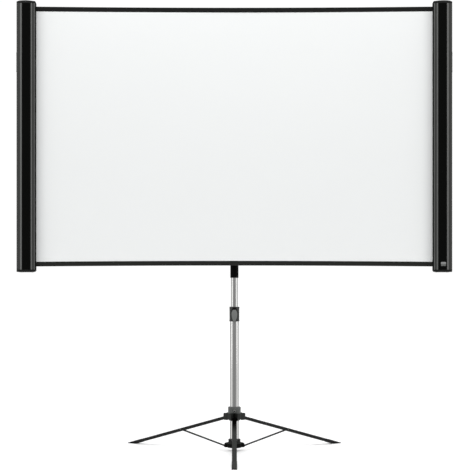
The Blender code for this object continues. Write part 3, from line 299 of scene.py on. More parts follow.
for side, angle in legAngles.items():
    out = Vector((math.cos(angle) * math.cos(legTilt), math.sin(angle) * math.cos(legTilt), -math.sin(legTilt)))
    legLook = {"colour": (0.0175, 0.018, 0.0175), "change": 0.12, "roughness": 0.46, "streak": 0.16, "wear": 0.14,
               "relief": 0.05, "metallic": 0.0, "specular": 0.04, "axis": tuple(out)}
    # painted light and shade: the three legs share one finish, but the front leg gets a lighter colour without specular
    # and the side legs a darker one, for how the light falls on each
    if side == "front":
        legLook.update({"colour": (0.030, 0.031, 0.030), "specular": 0.0,
                        "mask": (darkRoot, (0.0010, 0.0010, 0.0009))})
    paints["leg" + side] = drawnMetal("legSection" + side.title(), legLook)
print("paints made:", len(paints))


# Shapes
def meshFrom(shape, name, smoothAngle=32):
    bmesh.ops.recalc_face_normals(shape, faces=shape.faces)
    mesh = bpy.data.meshes.new(name)
    shape.to_mesh(mesh)
    shape.free()
    mesh.shade_smooth()
    mesh.set_sharp_from_angle(angle=math.radians(smoothAngle))
    return mesh


def addPaints(mesh, *keys):
    for key in keys:
        mesh.materials.append(paints[key].material)


def addPiece(name, mesh, paint, body, stands=()):
    piece = bpy.data.objects.new(name, mesh)
    bpy.context.scene.collection.objects.link(piece)
    if not mesh.materials:
        addPaints(mesh, paint)
    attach(piece, body)
    if stands:
        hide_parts(*stands)
    return piece


def roundCorners(points, radius, steps=3):  # a closed outline with its corners made round
    made = []
    for index, corner in enumerate(points):
        here = Vector(corner)
        back = Vector(points[index - 1]) - here
        ahead = Vector(points[(index + 1) % len(points)]) - here
        turn = back.angle(ahead)
        if turn > math.radians(172):
            made.append(tuple(here))
            continue
        reach = min(radius / math.tan(turn / 2), back.length * 0.45, ahead.length * 0.45)
        bend = reach * math.tan(turn / 2)
        centre = here + (back.normalized() + ahead.normalized()).normalized() * bend / math.sin(turn / 2)
        start, end = here + back.normalized() * reach - centre, here + ahead.normalized() * reach - centre
        sweep = start.angle(end)
        for step in range(steps + 1):
            share = step / steps
            spot = start * math.sin((1 - share) * sweep) + end * math.sin(share * sweep)
            made.append(tuple(centre + spot / math.sin(sweep)))
    return made


def arc(centre, radius, start, end, count):
    angles = [math.radians(start + (end - start) * i / count) for i in range(count + 1)]
    return [(centre[0] + radius * math.cos(a), centre[1] + radius * math.sin(a)) for a in angles]


def rectangle(low, high):  # a flat outline between two opposite corners
    return [low, (high[0], low[1]), high, (low[0], high[1])]


def lathed(name, profile, place, steps):  # turns a closed (radius, height) outline round local Z
    shape = bmesh.new()
    rings = []
    for radius, height in profile:
        if radius < 1e-7:
            rings.append([shape.verts.new(place @ Vector((0, 0, height)))] * steps)
            continue
        rings.append([
            shape.verts.new(place @ Vector((radius * math.cos(a), radius * math.sin(a), height)))
            for a in (2 * math.pi * step / steps for step in range(steps))
        ])
    for ring, following in zip(rings, rings[1:] + rings[:1]):
        for step in range(steps):
            after = (step + 1) % steps
            corners = []
            for vertex in (ring[step], ring[after], following[after], following[step]):
                if vertex not in corners:
                    corners.append(vertex)
            if len(corners) > 2:
                shape.faces.new(corners)
    return meshFrom(shape, name)


def easeEdges(shape, edges, width, segments=2):
    bmesh.ops.bevel(shape, geom=edges, offset=width, segments=segments, profile=0.5, affect="EDGES", clamp_overlap=True)


def sharpEdges(shape, angle):
    return [e for e in shape.edges if len(e.link_faces) == 2 and e.calc_face_angle(0) > angle]


def prism(name, outline, low, high, place=Matrix(), edge=0.0, segments=2, smoothAngle=32):  # an outline, run along Z
    shape = bmesh.new()
    bottom, top = ([shape.verts.new(place @ Vector((x, y, z))) for x, y in outline] for z in (low, high))
    count = len(outline)
    caps = [shape.faces.new(bottom), shape.faces.new(top)]
    for i in range(count):
        shape.faces.new((bottom[i], bottom[(i + 1) % count], top[(i + 1) % count], top[i]))
    if edge:
        easeEdges(shape, list({e for cap in caps for e in cap.edges}), edge, segments)
    return meshFrom(shape, name, smoothAngle)


def stacked(name, rings, smoothAngle):  # closed rings of points, one over another, with both ends filled
    shape = bmesh.new()
    layers = [[shape.verts.new(spot) for spot in ring] for ring in rings]
    count = len(layers[0])
    for ring, following in zip(layers, layers[1:]):
        for i in range(count):
            shape.faces.new((ring[i], ring[(i + 1) % count], following[(i + 1) % count], following[i]))
    shape.faces.new(layers[0])
    shape.faces.new(layers[-1])
    return meshFrom(shape, name, smoothAngle)


def closeGrids(shape, front, rear):  # the faces of two grids of points, closed round their rim
    rows, columns = len(front) - 1, len(front[0]) - 1
    for grid in (front, rear):
        for row in range(rows):
            for column in range(columns):
                shape.faces.new((grid[row][column], grid[row][column + 1], grid[row + 1][column + 1],
                                 grid[row + 1][column]))
    for row in (0, rows):
        for column in range(columns):
            shape.faces.new((front[row][column], front[row][column + 1], rear[row][column + 1], rear[row][column]))
    for column in (0, columns):
        for row in range(rows):
            shape.faces.new((front[row][column], front[row + 1][column], rear[row + 1][column], rear[row][column]))


def combined(name, meshes, operation, smoothAngle):  # a Boolean of the first closed mesh with each of the others
    things = []
    for mesh in meshes:
        things.append(bpy.data.objects.new("thing", mesh))
        bpy.context.scene.collection.objects.link(things[-1])
    for other in things[1:]:
        step = things[0].modifiers.new("step", "BOOLEAN")
        step.operation, step.solver, step.object = operation, "EXACT", other
    made = bpy.data.meshes.new_from_object(things[0].evaluated_get(bpy.context.evaluated_depsgraph_get()))
    for thing in things:
        bpy.data.objects.remove(thing, do_unlink=True)
    made.name = name
    made.shade_smooth()
    made.set_sharp_from_angle(angle=math.radians(smoothAngle))
    return made


def joined(name, *meshes, smoothAngle=32):
    return combined(name, meshes, "UNION", smoothAngle)


def carved(name, mesh, cutter, smoothAngle=38):
    return combined(name, (mesh, cutter), "DIFFERENCE", smoothAngle)


def softened(node, name, paint, body, width=0.0005):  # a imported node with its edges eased
    shape = bmesh.new()
    shape.from_mesh(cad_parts[node].data)
    bmesh.ops.remove_doubles(shape, verts=shape.verts, dist=2e-6)
    bmesh.ops.dissolve_limit(shape, angle_limit=math.radians(1.2), verts=shape.verts, edges=shape.edges)
    easeEdges(shape, sharpEdges(shape, math.radians(28)), width)
    return addPiece(name, meshFrom(shape, name, 30), paint, body, [node])


def turnTo(axis, spot):  # local Z along an axis, at a spot
    return Matrix.Translation(spot) @ Vector(axis).to_track_quat("Z", "Y").to_matrix().to_4x4()


def domedPin(node, name, axis, body, shank, head, paint="steel"):  # a riveted pin as long as its node
    middle = spanOf(node)[2]
    line = Vector(axis).normalized()
    points = [v.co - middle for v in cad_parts[node].data.vertices]
    reach = max(abs(p.dot(line)) for p in points)
    wide = max((p - line * p.dot(line)).length for p in points)
    crown = [(x, reach - head + y / wide * head) for x, y in arc((0, 0), wide, 0, 90, 6)]
    half = [(shank, 0), (shank, reach - head)] + crown
    profile = half + [(x, -y) for x, y in reversed(half)]
    profile = [(x if x > 1e-6 else 0, y) for x, y in profile]
    return addPiece(name, lathed(name, profile, turnTo(line, middle), 32), paint, body, [node])


# Camera, floor and light
# The photograph is 470 pixels wide, and the lens and the upward shift were found in its pixels
cameraLook = {"distance": 5.000, "height": 0.663, "pixels": 470, "lens": 1149, "rise": 65, "shiftX": 0.0013,
              "sensor": 36}
camera = bpy.data.objects.new("camera", bpy.data.cameras.new("camera"))
bpy.context.scene.collection.objects.link(camera)
camera.location = (0, sheetY - cameraLook["distance"], cameraLook["height"])
camera.rotation_euler = (math.radians(90), 0, 0)
camera.data.sensor_width = cameraLook["sensor"]
camera.data.lens = cameraLook["lens"] / cameraLook["pixels"] * cameraLook["sensor"]
camera.data.shift_x = cameraLook["shiftX"]
camera.data.shift_y = cameraLook["rise"] / cameraLook["pixels"]
camera.data.clip_end = 200
bpy.context.scene.camera = camera
bpy.context.scene.view_settings.view_transform = "Standard"

studio = {"floor": (0.90, 0.90, 0.90), "floorRadius": 60, "floorBack": 59.3, "sky": 0.90, "backdrop": 1.02,
          "behindCamera": 0.29, "sideDip": 0.55, "zenith": 0.75, "topEnergy": 76.0, "sideEnergy": 9.0,
          "fillEnergy": 24.0}
world = bpy.data.worlds.new("studio")
bpy.context.scene.world = world
surroundings = Paint("studio", world)
direction = surroundings.node("ShaderNodeTexCoord", out="Generated")
toward = surroundings.vector("DOT_PRODUCT", direction, (0, -1, 0), out="Value")
upward = surroundings.vector("DOT_PRODUCT", direction, (0, 0, 1), out="Value")
steep = surroundings.between(upward.math("ABSOLUTE", upward), 0.25, 0.60)
behind = surroundings.between(toward, -0.20, -0.45) * surroundings.between(toward, -0.93, -0.88)
level = surroundings.between(toward, 0.26, 0.90, studio["sky"], studio["behindCamera"])
level = level - behind * (1 - steep) * studio["sideDip"] + surroundings.between(upward, 0.15, 0.9) * studio["zenith"]
seen = surroundings.node("ShaderNodeLightPath", out="Is Camera Ray")
level = level + seen * (studio["backdrop"] - level)  # the background itself is plain white on every side
surroundings.tree.links.new(level.socket, world.node_tree.nodes["Background"].inputs["Strength"])
world.node_tree.nodes["Background"].inputs["Color"].default_value = (1, 1, 1, 1)

floorShape = bmesh.new()
bmesh.ops.create_circle(floorShape, cap_ends=True, segments=256, radius=studio["floorRadius"])
bmesh.ops.translate(floorShape, verts=floorShape.verts, vec=(0, studio["floorBack"], 0))
floor = bpy.data.objects.new("floor", meshFrom(floorShape, "floor"))
bpy.context.scene.collection.objects.link(floor)
floorPaint = Paint("paleFloor")
floorPaint.surface(Base_Color=studio["floor"], Roughness=0.45, Specular_IOR_Level=0.3)
floor.data.materials.append(floorPaint.material)
floor.visible_glossy = False  # the pole mirrors the plain surroundings down to its foot


def addLight(name, spot, target, size, energy, glossy=True):
    lamp = bpy.data.lights.new(name, "AREA")
    lamp.shape = "RECTANGLE"
    lamp.size, lamp.size_y = size
    lamp.energy = energy
    thing = bpy.data.objects.new(name, lamp)
    thing.location = spot
    thing.rotation_euler = (Vector(target) - Vector(spot)).to_track_quat("-Z", "Y").to_euler()
    thing.visible_glossy = glossy
    bpy.context.scene.collection.objects.link(thing)


addLight("topLight", (0, -1.6, 4.4), (0, 0.1, 1.0), (3.6, 2.4), studio["topEnergy"])
for name, sign in sides.items():
    addLight(name + "Light", (sign * 3.6, -1.2, 1.8), (0, 0.1, 1.1), (1.0, 3.0), studio["sideEnergy"])
addLight("fillLight", (0, -4.6, 1.5), (0, 0.1, 1.3), (3.4, 2.2), studio["fillEnergy"], False)
print("studio ready")


# The sheet and its borders: thin cloth held flat between the two rollers
cloth = {"columns": 72, "rows": 30, "thickness": 0.0006, "cornerRise": 0.005, "edgeBow": 0.004, "hem": 0.0012,
         "tape": 0.0207, "seam": 0.0003, "closedHalf": 0.0468, "ripple": 0.0005, "waves": (5.3, 4.1), "start": 0.8}
pictureHalf = halfWidth - housingWidth


def clothPanel(name, lowAt, highAt, thickness, paint, node, rows, ripple=0.0, rounding=False):
    low, high, middle = spanOf(node)
    columns = cloth["columns"]
    alongX, alongZ = cloth["waves"]
    shape = bmesh.new()
    front, rear = [], []
    for grid, depth in ((front, thickness), (rear, 0)):
        for row in range(rows + 1):
            line = []
            for column in range(columns + 1):
                x = low.x + (high.x - low.x) * column / columns
                z = lowAt(x) + (highAt(x) - lowAt(x)) * (row / rows)
                wave = ripple * math.sin(x * alongX + cloth["start"]) * math.sin(z * alongZ) * (1 - (x / high.x) ** 4)
                line.append(shape.verts.new((x, sheetY - depth + wave, z)))
            grid.append(line)
    closeGrids(shape, front, rear)
    if rounding:
        easeEdges(shape, sharpEdges(shape, 1.2), thickness * 0.3)
    piece = addPiece(name, meshFrom(shape, name, 40), paint, "post", [node])
    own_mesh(piece)
    return piece


middleRow = [v.co.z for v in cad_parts["screen_sheet"].data.vertices if abs(v.co.x) < 1e-4]
clothBottom, clothTop = min(middleRow), max(middleRow)


def upperEdge(x, outset=0.0):
    return clothTop + cloth["cornerRise"] * (x / pictureHalf) ** 2 + outset


def lowerEdge(x, outset=0.0):
    return clothBottom - cloth["edgeBow"] * (x / pictureHalf) ** 2 - outset


sheetPiece = clothPanel("sheetCloth", lowerEdge, upperEdge, cloth["thickness"], "cloth",
                        "screen_sheet", cloth["rows"], ripple=cloth["ripple"])
upperTape = clothPanel("upperBorderTape", lambda x: upperEdge(x, cloth["seam"]), lambda x: upperEdge(x, cloth["tape"]),
                       cloth["hem"], "upperBorder", "upper_border", 3, rounding=True)
lowerTape = clothPanel("lowerBorderTape", lambda x: lowerEdge(x, cloth["tape"]), lambda x: lowerEdge(x, cloth["seam"]),
                       cloth["hem"], "lowerBorder", "lower_border", 3, rounding=True)
print("sheet made")


# Housings: extruded section, strip, end caps, bumper and grip pad on each side
housing = {"bayBackWidth": 0.0740, "rearWidth": 0.0665, "depth": 0.093, "wall": 0.002, "bayBack": 0.055,
           "slotFront": 0.02135, "slotBack": 0.02585, "bend": 0.0263, "shoulder": 0.0170, "shoulderDrop": 0.014,
           "stripStart": 0.0257, "stripEnd": 0.0619, "stripDepth": 0.0015, "outerRidge": 0.0246, "innerRidge": 0.0652,
           "innerRidgeEnd": 0.0690, "brightEnd": 0.0692, "rimStart": 0.0780, "lipStart": 0.0808, "corner": 0.0062,
           "capRound": 0.006, "capCorner": 0.0080, "capEdge": 0.0018, "capHeight": 0.009}


def sectionPoint(sign, u, v):
    return sign * (halfWidth - u), frontY + v


def shoulderCurve(steps):
    wide, drop = housing["shoulder"], housing["shoulderDrop"]
    angles = [math.pi / 2 * step / steps for step in range(steps + 1)]
    return [(wide * (1 - math.cos(a)), drop * (1 - math.sin(a))) for a in angles]


def frontLine():  # (u, v) points from the outer side to the inner front corner
    wide, start, end = housing["shoulder"], housing["stripStart"], housing["stripEnd"]
    deep, outer, inner, last = (housing[key] for key in ("stripDepth", "outerRidge", "innerRidge", "innerRidgeEnd"))
    curve = [(u, v + 0.0006 * (u / wide) ** 4) for u, v in shoulderCurve(12)]
    ridge = [(wide + 0.0004, 0.0002), (wide + 0.0010, 0), (outer, 0), (outer + 0.0006, 0.0004), (start, 0.0012),
             (start, deep)]
    rise = [(end, deep), (end, 0.0013), (end + 0.0004, 0.0010), (inner - 0.0014, 0.0009), (inner - 0.0005, 0.0004),
            (inner, 0), (last - 0.0004, 0), (last, 0.0003)]
    valley = [(last + 0.0008, 0.0012), (last + 0.0018, 0.0016), (last + 0.0046, 0.0016), (last + 0.0066, 0.0012),
              (last + 0.0080, 0.0007), (last + 0.0092, 0.0006)]
    radius = housing["corner"]
    centre = (housingWidth - radius, radius + 0.0005)
    return curve + ridge + rise + valley + arc(centre, radius, -90, 0, 8)[1:]


def innerLine():  # the same way along the inner face of the wall
    wall, wide, start, end = (housing[key] for key in ("wall", "shoulder", "stripStart", "stripEnd"))
    points = [(wall, housing["shoulderDrop"] + wall / 2), (wide * 0.4, 0.0062), (wide, wall * 1.5),
              (start - wall, wall * 1.5), (start - wall / 2, 0.0035), (end + wall / 2, 0.0035),
              (end + 0.005, 0.0035), (end + 0.010, 0.0038), (end + 0.014, 0.0032)]
    radius = housing["corner"] - wall
    centre = (housingWidth - housing["corner"], housing["corner"] + 0.001)
    return points + arc(centre, radius, -90, 0, 4)


def addFrontShell(side):
    low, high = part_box("front_shell_" + side)
    wide, wall, back, far = housingWidth, housing["wall"], housing["bayBack"], housing["bayBackWidth"]
    outer = frontLine() + [(wide, housing["slotFront"] - 0.0006), (wide - 0.0006, housing["slotFront"]),
                           (wide - wall, housing["slotFront"])]
    inside = list(reversed(innerLine()))
    inside += [(wall, back - wall), (far - wall, back - wall), (wide - wall, housing["slotBack"])]
    close = [(wide - 0.0006, housing["slotBack"]), (wide - 0.0002, housing["slotBack"] + 0.0006)]
    close += [(far, back), (0, back)]
    outline = [sectionPoint(sides[side], u, v) for u, v in outer + inside + close]
    name = "housingFront" + side.title()
    mesh = prism(name, outline, low.z, high.z, smoothAngle=38)
    addPaints(mesh, "section", "ridge", "lip")
    for face in mesh.polygons:
        u, v = halfWidth - abs(face.center.x), face.center.y - frontY
        # painted highlight: the ridge bands beside the strip and the inner rim get the lighter ridge paint, where the
        # section's edges catch the light
        highlighted = (housing["shoulder"] - 0.0008 < u < housing["outerRidge"]
                  or housing["innerRidge"] < u < housing["brightEnd"])
        if highlighted and v < 0.0003 and abs(face.normal.z) < 0.5:
            face.material_index = 1
        # painted shade: the inner corner and side wall by the slot get the darker lip paint
        if u > housing["lipStart"]:
            face.material_index = 2
        elif u > housing["rimStart"] and v < 0.0016:
            face.material_index = 1
    addPiece(name, mesh, "section", "housing_" + side, ["front_shell_" + side])


def capOutline():
    depth, far, rear, radius = (housing[key] for key in ("depth", "bayBackWidth", "rearWidth", "capRound"))
    points = shoulderCurve(8) + arc((housingWidth - radius, radius), radius, -90, 0, 6)
    points += [(housingWidth, housing["bend"]), (far, housing["bayBack"]), (rear + 0.0003, depth - 0.0015),
               (rear - 0.0015, depth)]
    return points + arc((radius, depth - radius), radius, 90, 180, 6) + [(0, depth / 2)]


def sideWidth(v):  # how wide the cap is at a depth
    far, bend, back = housing["bayBackWidth"], housing["bend"], housing["bayBack"]
    if v < bend:
        return housingWidth
    if v < back:
        return housingWidth + (far - housingWidth) * (v - bend) / (back - bend)
    return far + (housing["rearWidth"] - far) * (v - back) / (housing["depth"] - back)


def roundedBack(radius, height):  # how far a rounded edge draws in at a height over its start
    rise = min(max(height, 0), radius)
    return radius - math.sqrt(radius * radius - rise * rise)


def capRings(low, upward):  # the cap's outline at rising heights, drawn in where its edges are round
    points = capOutline()
    count = len(points)
    tall, edge, corner = housing["capHeight"], housing["capEdge"], housing["capCorner"]
    climbs = [0] + [tall - corner + (corner - edge) * i / 4 for i in range(5)]
    climbs += [tall - edge + edge * math.sin(math.pi / 2 * i / 4) for i in range(1, 5)]
    rings = []
    for climb in climbs:
        ring = []
        inset = roundedBack(edge, climb - tall + edge)
        clip = roundedBack(corner, climb - tall + corner)
        for i, (u, v) in enumerate(points):
            before, after = Vector(points[i - 1]), Vector(points[(i + 1) % count])
            along = (after - before).normalized()
            spot = Vector((u, v)) - Vector((along.y, -along.x)) * inset
            reach = min(spot.x, sideWidth(spot.y) - max(clip, inset))
            ring.append((reach, spot.y, low + climb if upward else low + tall - climb))
        rings.append(ring)
    return rings


def addCap(side, upward, notch=None):
    node = ("top_cap_" if upward else "bottom_cap_") + side
    name = ("capUpper" if upward else "capLower") + side.title()
    rings = capRings(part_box(node)[0].z, upward)
    mesh = stacked(name, [[(*sectionPoint(sides[side], u, v), z) for u, v, z in ring] for ring in rings], 40)
    if notch:
        mesh = carved(name, mesh, notch)
    addPiece(name, mesh, "cap", "housing_" + side, [node])


def addBumper(side):  # the low pad on top of a housing: arched across, level along its depth, with a round rim
    low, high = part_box("top_cap_" + side)
    base = low.z + housing["capHeight"]
    pad = {"height": high.z - base, "u": 0.0375, "half": 0.037, "fall": 0.9, "step": 0.003, "sunk": 0.0006}
    centre = Vector((housingWidth / 2, housing["depth"] / 2))
    corners = [Vector(point) - centre for point in capOutline()]
    plan = []
    for start, end in zip(corners, corners[1:] + corners[:1]):
        parts = max(1, round((end - start).length / pad["step"]))
        plan += [start.lerp(end, i / parts) for i in range(parts)]
    rings = [(0.94, 0.0), (0.939, 0.4), (0.936, 0.7), (0.931, 0.88), (0.924, 0.97), (0.912, 1.0)]
    rings += [(share, 1.0) for share in (0.84, 0.72, 0.60, 0.48, 0.36, 0.24, 0.12, 0.04)]
    layers = []
    for share, rise in rings:
        layer = []
        for spot in plan:
            across, back = centre + spot * share
            arch = pad["height"] * (1 - pad["fall"] * ((across - pad["u"]) / pad["half"]) ** 2)
            z = base + (arch * rise if arch > 0 else arch * 0.3) if rise > 0 else base - pad["sunk"]
            layer.append((*sectionPoint(sides[side], across, back), z))
        layers.append(layer)
    name = "capBumper" + side.title()
    addPiece(name, stacked(name, layers, 50), "bumper", "housing_" + side)


def addStrip(side):
    low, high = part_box("front_strip_" + side)
    outline = roundCorners(rectangle((low.x, low.y), (high.x, high.y)), 0.0004)
    name = "frontStrip" + side.title()
    mesh = prism(name, outline, low.z, high.z)
    addPiece(name, mesh, "strip", "housing_" + side, ["front_strip_" + side])


swapped = Matrix(((1, 0, 0, 0), (0, 0, 1, 0), (0, 1, 0, 0), (0, 0, 0, 1)))  # local Y points up and local Z back


def addGrip(side):  # a rubber pad with shallow ribs
    low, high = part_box("side_grip_" + side)
    sign = sides[side]
    face, root = (high.x, low.x) if sign > 0 else (low.x, high.x)
    grip = {"ribs": 13, "margin": 0.008, "groove": 0.0009}
    first, last = low.z + grip["margin"], high.z - grip["margin"]
    pitch = (last - first) / grip["ribs"]
    points = [(root, low.z), (face, low.z)]
    for i in range(grip["ribs"]):
        start = first + pitch * i
        for share, sunk in ((0.06, 0), (0.20, 1), (0.45, 1), (0.60, 0)):
            points.append((face - sign * grip["groove"] * sunk, start + pitch * share))
    points += [(face, high.z), (root, high.z)]
    name = "gripPad" + side.title()
    mesh = prism(name, roundCorners(points, 0.0009, 2), low.y, high.y, swapped, 0.0003)
    addPiece(name, mesh, "grip", "housing_" + side, ["side_grip_" + side])


def addLabel():  # a plain plate on the right strip
    plate = {"wide": 0.0217, "tall": 0.0175, "thick": 0.0005, "height": 0.8189, "u": 0.0405, "corner": 0.003}
    middle = Vector((halfWidth - plate["u"], plate["height"]))
    half = Vector((plate["wide"], plate["tall"])) / 2
    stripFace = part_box("front_strip_right")[0].y
    outline = roundCorners(rectangle(middle - half, middle + half), plate["corner"], 5)
    mesh = prism("plainLabel", outline, stripFace - plate["thick"], stripFace, swapped, 0.0001, 1)
    addPiece("plainLabel", mesh, "label", "housing_right")


screw = {"spots": ((0.010, 0.080), (0.058, 0.080), (0.070, 0.022)),
         "head": [(0, -0.0008), (0.0030, -0.0008), (0.0034, 0.0003), (0.0026, 0.0009), (0.0009, 0.0011),
                  (0.0007, 0.0004), (0, 0.0004)]}


def addCapScrews(side):  # countersunk screws that hold the end caps
    for upward, node, lift in ((True, "top_cap_" + side, 1), (False, "bottom_cap_" + side, -1)):
        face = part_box(node)[0].z + (housing["capHeight"] if upward else 0)
        for number, (u, v) in enumerate(screw["spots"]):
            place = Matrix.Translation((*sectionPoint(sides[side], u, v), face)) @ Matrix.Diagonal((1, 1, lift, 1))
            name = ("upper" if upward else "lower") + "CapScrew" + side.title() + str(number + 1)
            addPiece(name, lathed(name, screw["head"], place, 24), "steel", "housing_" + side)


notchHalf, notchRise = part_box("neck_socket")[1].x + 0.0018, 0.02  # the room for the neck when the screen is closed
for side, sign in sides.items():
    addFrontShell(side)
    softened("rear_shell_" + side, "housingRear" + side.title(), "section", "housing_" + side)
    addCap(side, True)
    notchSpot = (sign * (halfWidth - housingWidth - 0.0003), poleY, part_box("bottom_cap_" + side)[0].z)
    notchProfile = rectangle((0, -notchRise), (notchHalf, notchRise))
    addCap(side, False, lathed("notch", notchProfile, Matrix.Translation(notchSpot), 48))
    addBumper(side)
    addStrip(side)
    addGrip(side)
    addCapScrews(side)
addLabel()
print("housings made")


# Folding arms, spine and sliders behind the sheet
for side in sides:
    for layer in ("front", "back"):
        body = "arm_" + layer + "_" + side
        softened(body, "arm" + layer.title() + side.title(), "arm", body, 0.0006)
    domedPin("arm_rivet_" + side, "armRivet" + side.title(), (0, 1, 0), "arm_front_" + side, 0.003, 0.0016)
    softened("slider_" + side, "housingSlider" + side.title(), "nylon", "slider_" + side, 0.0004)
softened("spine", "spineChannel", "arm", "post", 0.0004)
softened("arm_anchor", "armAnchor", "steel", "post", 0.0004)
softened("centre_slider", "centreSlider", "nylon", "centre_slider", 0.0004)
print("arms made")


# Pole: two drawn tubes, and the neck socket on the upper one
def addTube(node, name, body, wall):
    low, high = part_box(node)
    radius = (high.x - low.x) / 2
    outline = roundCorners(rectangle((radius - wall, low.z), (radius, high.z)), 0.0005)
    addPiece(name, lathed(name, outline, mastPlace, 96), "tube", body, [node])


neck = {"clearance": 0.0003, "roof": 0.006, "boss": 0.0055, "bossLength": 0.0050, "bossSunk": 0.0012, "ease": 0.0005,
        "knob": 0.0075, "lobes": 6, "lobeDepth": 0.0010, "knobLength": 0.012, "shank": 0.003, "shankStart": 0.0152}


def addNeck():
    low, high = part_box("neck_socket")
    radius = (high.x - low.x) / 2
    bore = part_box("upper_pole")[1].x + neck["clearance"]
    outline = [(bore, low.z), (radius, low.z), (radius, high.z), (0, high.z), (0, high.z - neck["roof"]),
               (bore, high.z - neck["roof"])]
    profile = [(r if r > 0.0005 else 0, z) for r, z in roundCorners(outline, 0.0009)]
    socket = lathed("neckBody", profile, mastPlace, 96)
    start, end, ease = radius - neck["bossSunk"], radius + neck["bossLength"], neck["ease"]
    boss = [(0, start), (neck["boss"], start), (neck["boss"], end - ease), (neck["boss"] - ease, end), (0, end)]
    place = turnTo((0, 1, 0), (0, poleY, spanOf("neck_screw")[2].z))
    mesh = joined("neckSocket", socket, lathed("boss", boss, place, 32))
    addPiece("neckSocket", mesh, "moulding", "post", ["neck_socket"])
    plan = []
    for angle in (2 * math.pi * i / 72 for i in range(72)):
        reach = neck["knob"] - neck["lobeDepth"] * (1 - math.cos(neck["lobes"] * angle)) / 2
        plan.append((reach * math.cos(angle), reach * math.sin(angle)))
    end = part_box("neck_screw")[1].y - poleY
    knob = prism("knob", plan, end - neck["knobLength"], end, place, 0.0008, 3)
    shank = lathed("shank", rectangle((0, neck["shankStart"]), (neck["shank"], end - 0.006)), place, 24)
    addPiece("neckKnob", joined("neckKnob", knob, shank), "moulding", "neck_screw", ["neck_screw"])


addTube("lower_pole", "lowerTube", "mast", 0.0016)
addTube("upper_pole", "upperTube", "post", 0.0014)
addNeck()
print("pole made")


# Height latch: collar with two ears, and a lens-shaped lever on a pin
latch = {"axisOut": poleY - spanOf("lever_pin")[2].y, "pinZ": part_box("latch_collar")[1].z - 0.0125, "earGap": 0.0160,
         "earThick": 0.0045, "earRadius": 0.0055, "earRoot": 0.0185, "leverWidth": 0.0245, "leverLength": 0.0583,
         "leverThick": 0.0040, "flare": math.radians(10), "crown": 0.0012, "startShare": 0.20, "barrel": 0.0045,
         "bladeTop": -0.0022}
collar = {"clearance": 0.0003, "lipClearance": 0.0010, "foot": 0.006, "head": 0.007, "step": 0.0008, "waist": 0.0007}


def addCollar():
    low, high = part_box("latch_collar")
    radius, top = high.x, high.z
    waist, step = radius - collar["waist"], collar["step"]
    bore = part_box("lower_pole")[1].x + collar["clearance"]
    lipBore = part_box("upper_pole")[1].x + collar["lipClearance"]
    foot, head = low.z + collar["foot"], top - collar["head"]
    outline = [(bore, low.z), (radius, low.z), (radius, foot), (waist, foot + step), (waist, head - step),
               (radius, head), (radius, top), (lipBore, top), (lipBore, top - step), (bore, top - step)]
    body = lathed("collarBody", roundCorners(outline, 0.0008), mastPlace, 96)
    place = Matrix(((0, 0, 1, 0), (1, 0, 0, poleY), (0, 1, 0, 0), (0, 0, 0, 1)))
    core = rectangle((0, low.z - 0.01), (radius - 0.0012, top + 0.01))
    ears = []
    for sign in sides.values():
        start = sign * latch["earGap"] / 2
        end = start + sign * latch["earThick"]
        outline = arc((-latch["axisOut"], latch["pinZ"]), latch["earRadius"], 90, 270, 12)
        outline += [(-latch["earRoot"], latch["pinZ"] + rise) for rise in (-latch["earRadius"], latch["earRadius"])]
        ear = prism("ear", outline, min(start, end), max(start, end), place, 0.0005)
        ears.append(carved("ear", ear, lathed("core", core, mastPlace, 96)))
    addPiece("latchCollar", joined("latchCollar", body, *ears), "collar", "mast", ["latch_collar"])


def leverHalfWidth(share):
    phase = latch["startShare"] + (1 - latch["startShare"]) * share
    return max(latch["leverWidth"] / 2 * math.sin(math.pi * phase), 0.0022)


def addLever():
    turn = Matrix(((1, 0, 0, 0), (0, 0, -1, 0), (0, -1, 0, 0), (0, 0, 0, 1)))
    axis = (0, poleY - latch["axisOut"], latch["pinZ"])
    start = Matrix.Translation(axis) @ Matrix.Rotation(-latch["flare"], 4, "X")
    place = start @ Matrix.Translation((0, 0, latch["bladeTop"])) @ turn
    front = latch["earRadius"] + 0.0005
    rows, columns = 26, 12
    shape = bmesh.new()
    outer, inner = [], []
    for grid in (outer, inner):
        for row in range(rows + 1):
            share = row / rows
            half = leverHalfWidth(share)
            line = []
            for column in range(columns + 1):
                across = -1 + 2 * column / columns
                edge = math.sqrt(max(1 - abs(across) ** 3.0, 0))
                swell = latch["crown"] * edge * math.sin(math.pi * min(max(share, 0.04), 0.96))
                depth = front + (latch["leverThick"] - latch["crown"]) * (0.35 + 0.65 * edge) + swell
                if grid is inner:
                    depth = front + 0.0004 * (1 - edge)
                line.append(shape.verts.new(place @ Vector((half * across, share * latch["leverLength"], depth))))
            grid.append(line)
    closeGrids(shape, outer, inner)
    blade = meshFrom(shape, "blade", 50)
    half, radius = latch["earGap"] / 2 - 0.0003, latch["barrel"]
    profile = [(r if r > 0.0006 else 0, z) for r, z in roundCorners(rectangle((0, -half), (radius, half)), 0.0004)]
    barrel = lathed("barrel", profile, turnTo((1, 0, 0), axis), 40)
    outline = rectangle((-half + 0.0002, -front - 0.0018), (half - 0.0002, -0.0004))
    bridge = prism("bridge", outline, -0.0024, 0.0024, start, 0.0004)
    hinge = joined("leverHinge", barrel, bridge, smoothAngle=45)
    addPiece("latchLever", blade, "lever", "latch_lever", ["latch_lever"])
    addPiece("leverHinge", hinge, "moulding", "latch_lever")


addCollar()
addLever()
domedPin("lever_pin", "leverPin", (1, 0, 0), "mast", 0.0018, 0.0012, "rivet")
print("latch made")


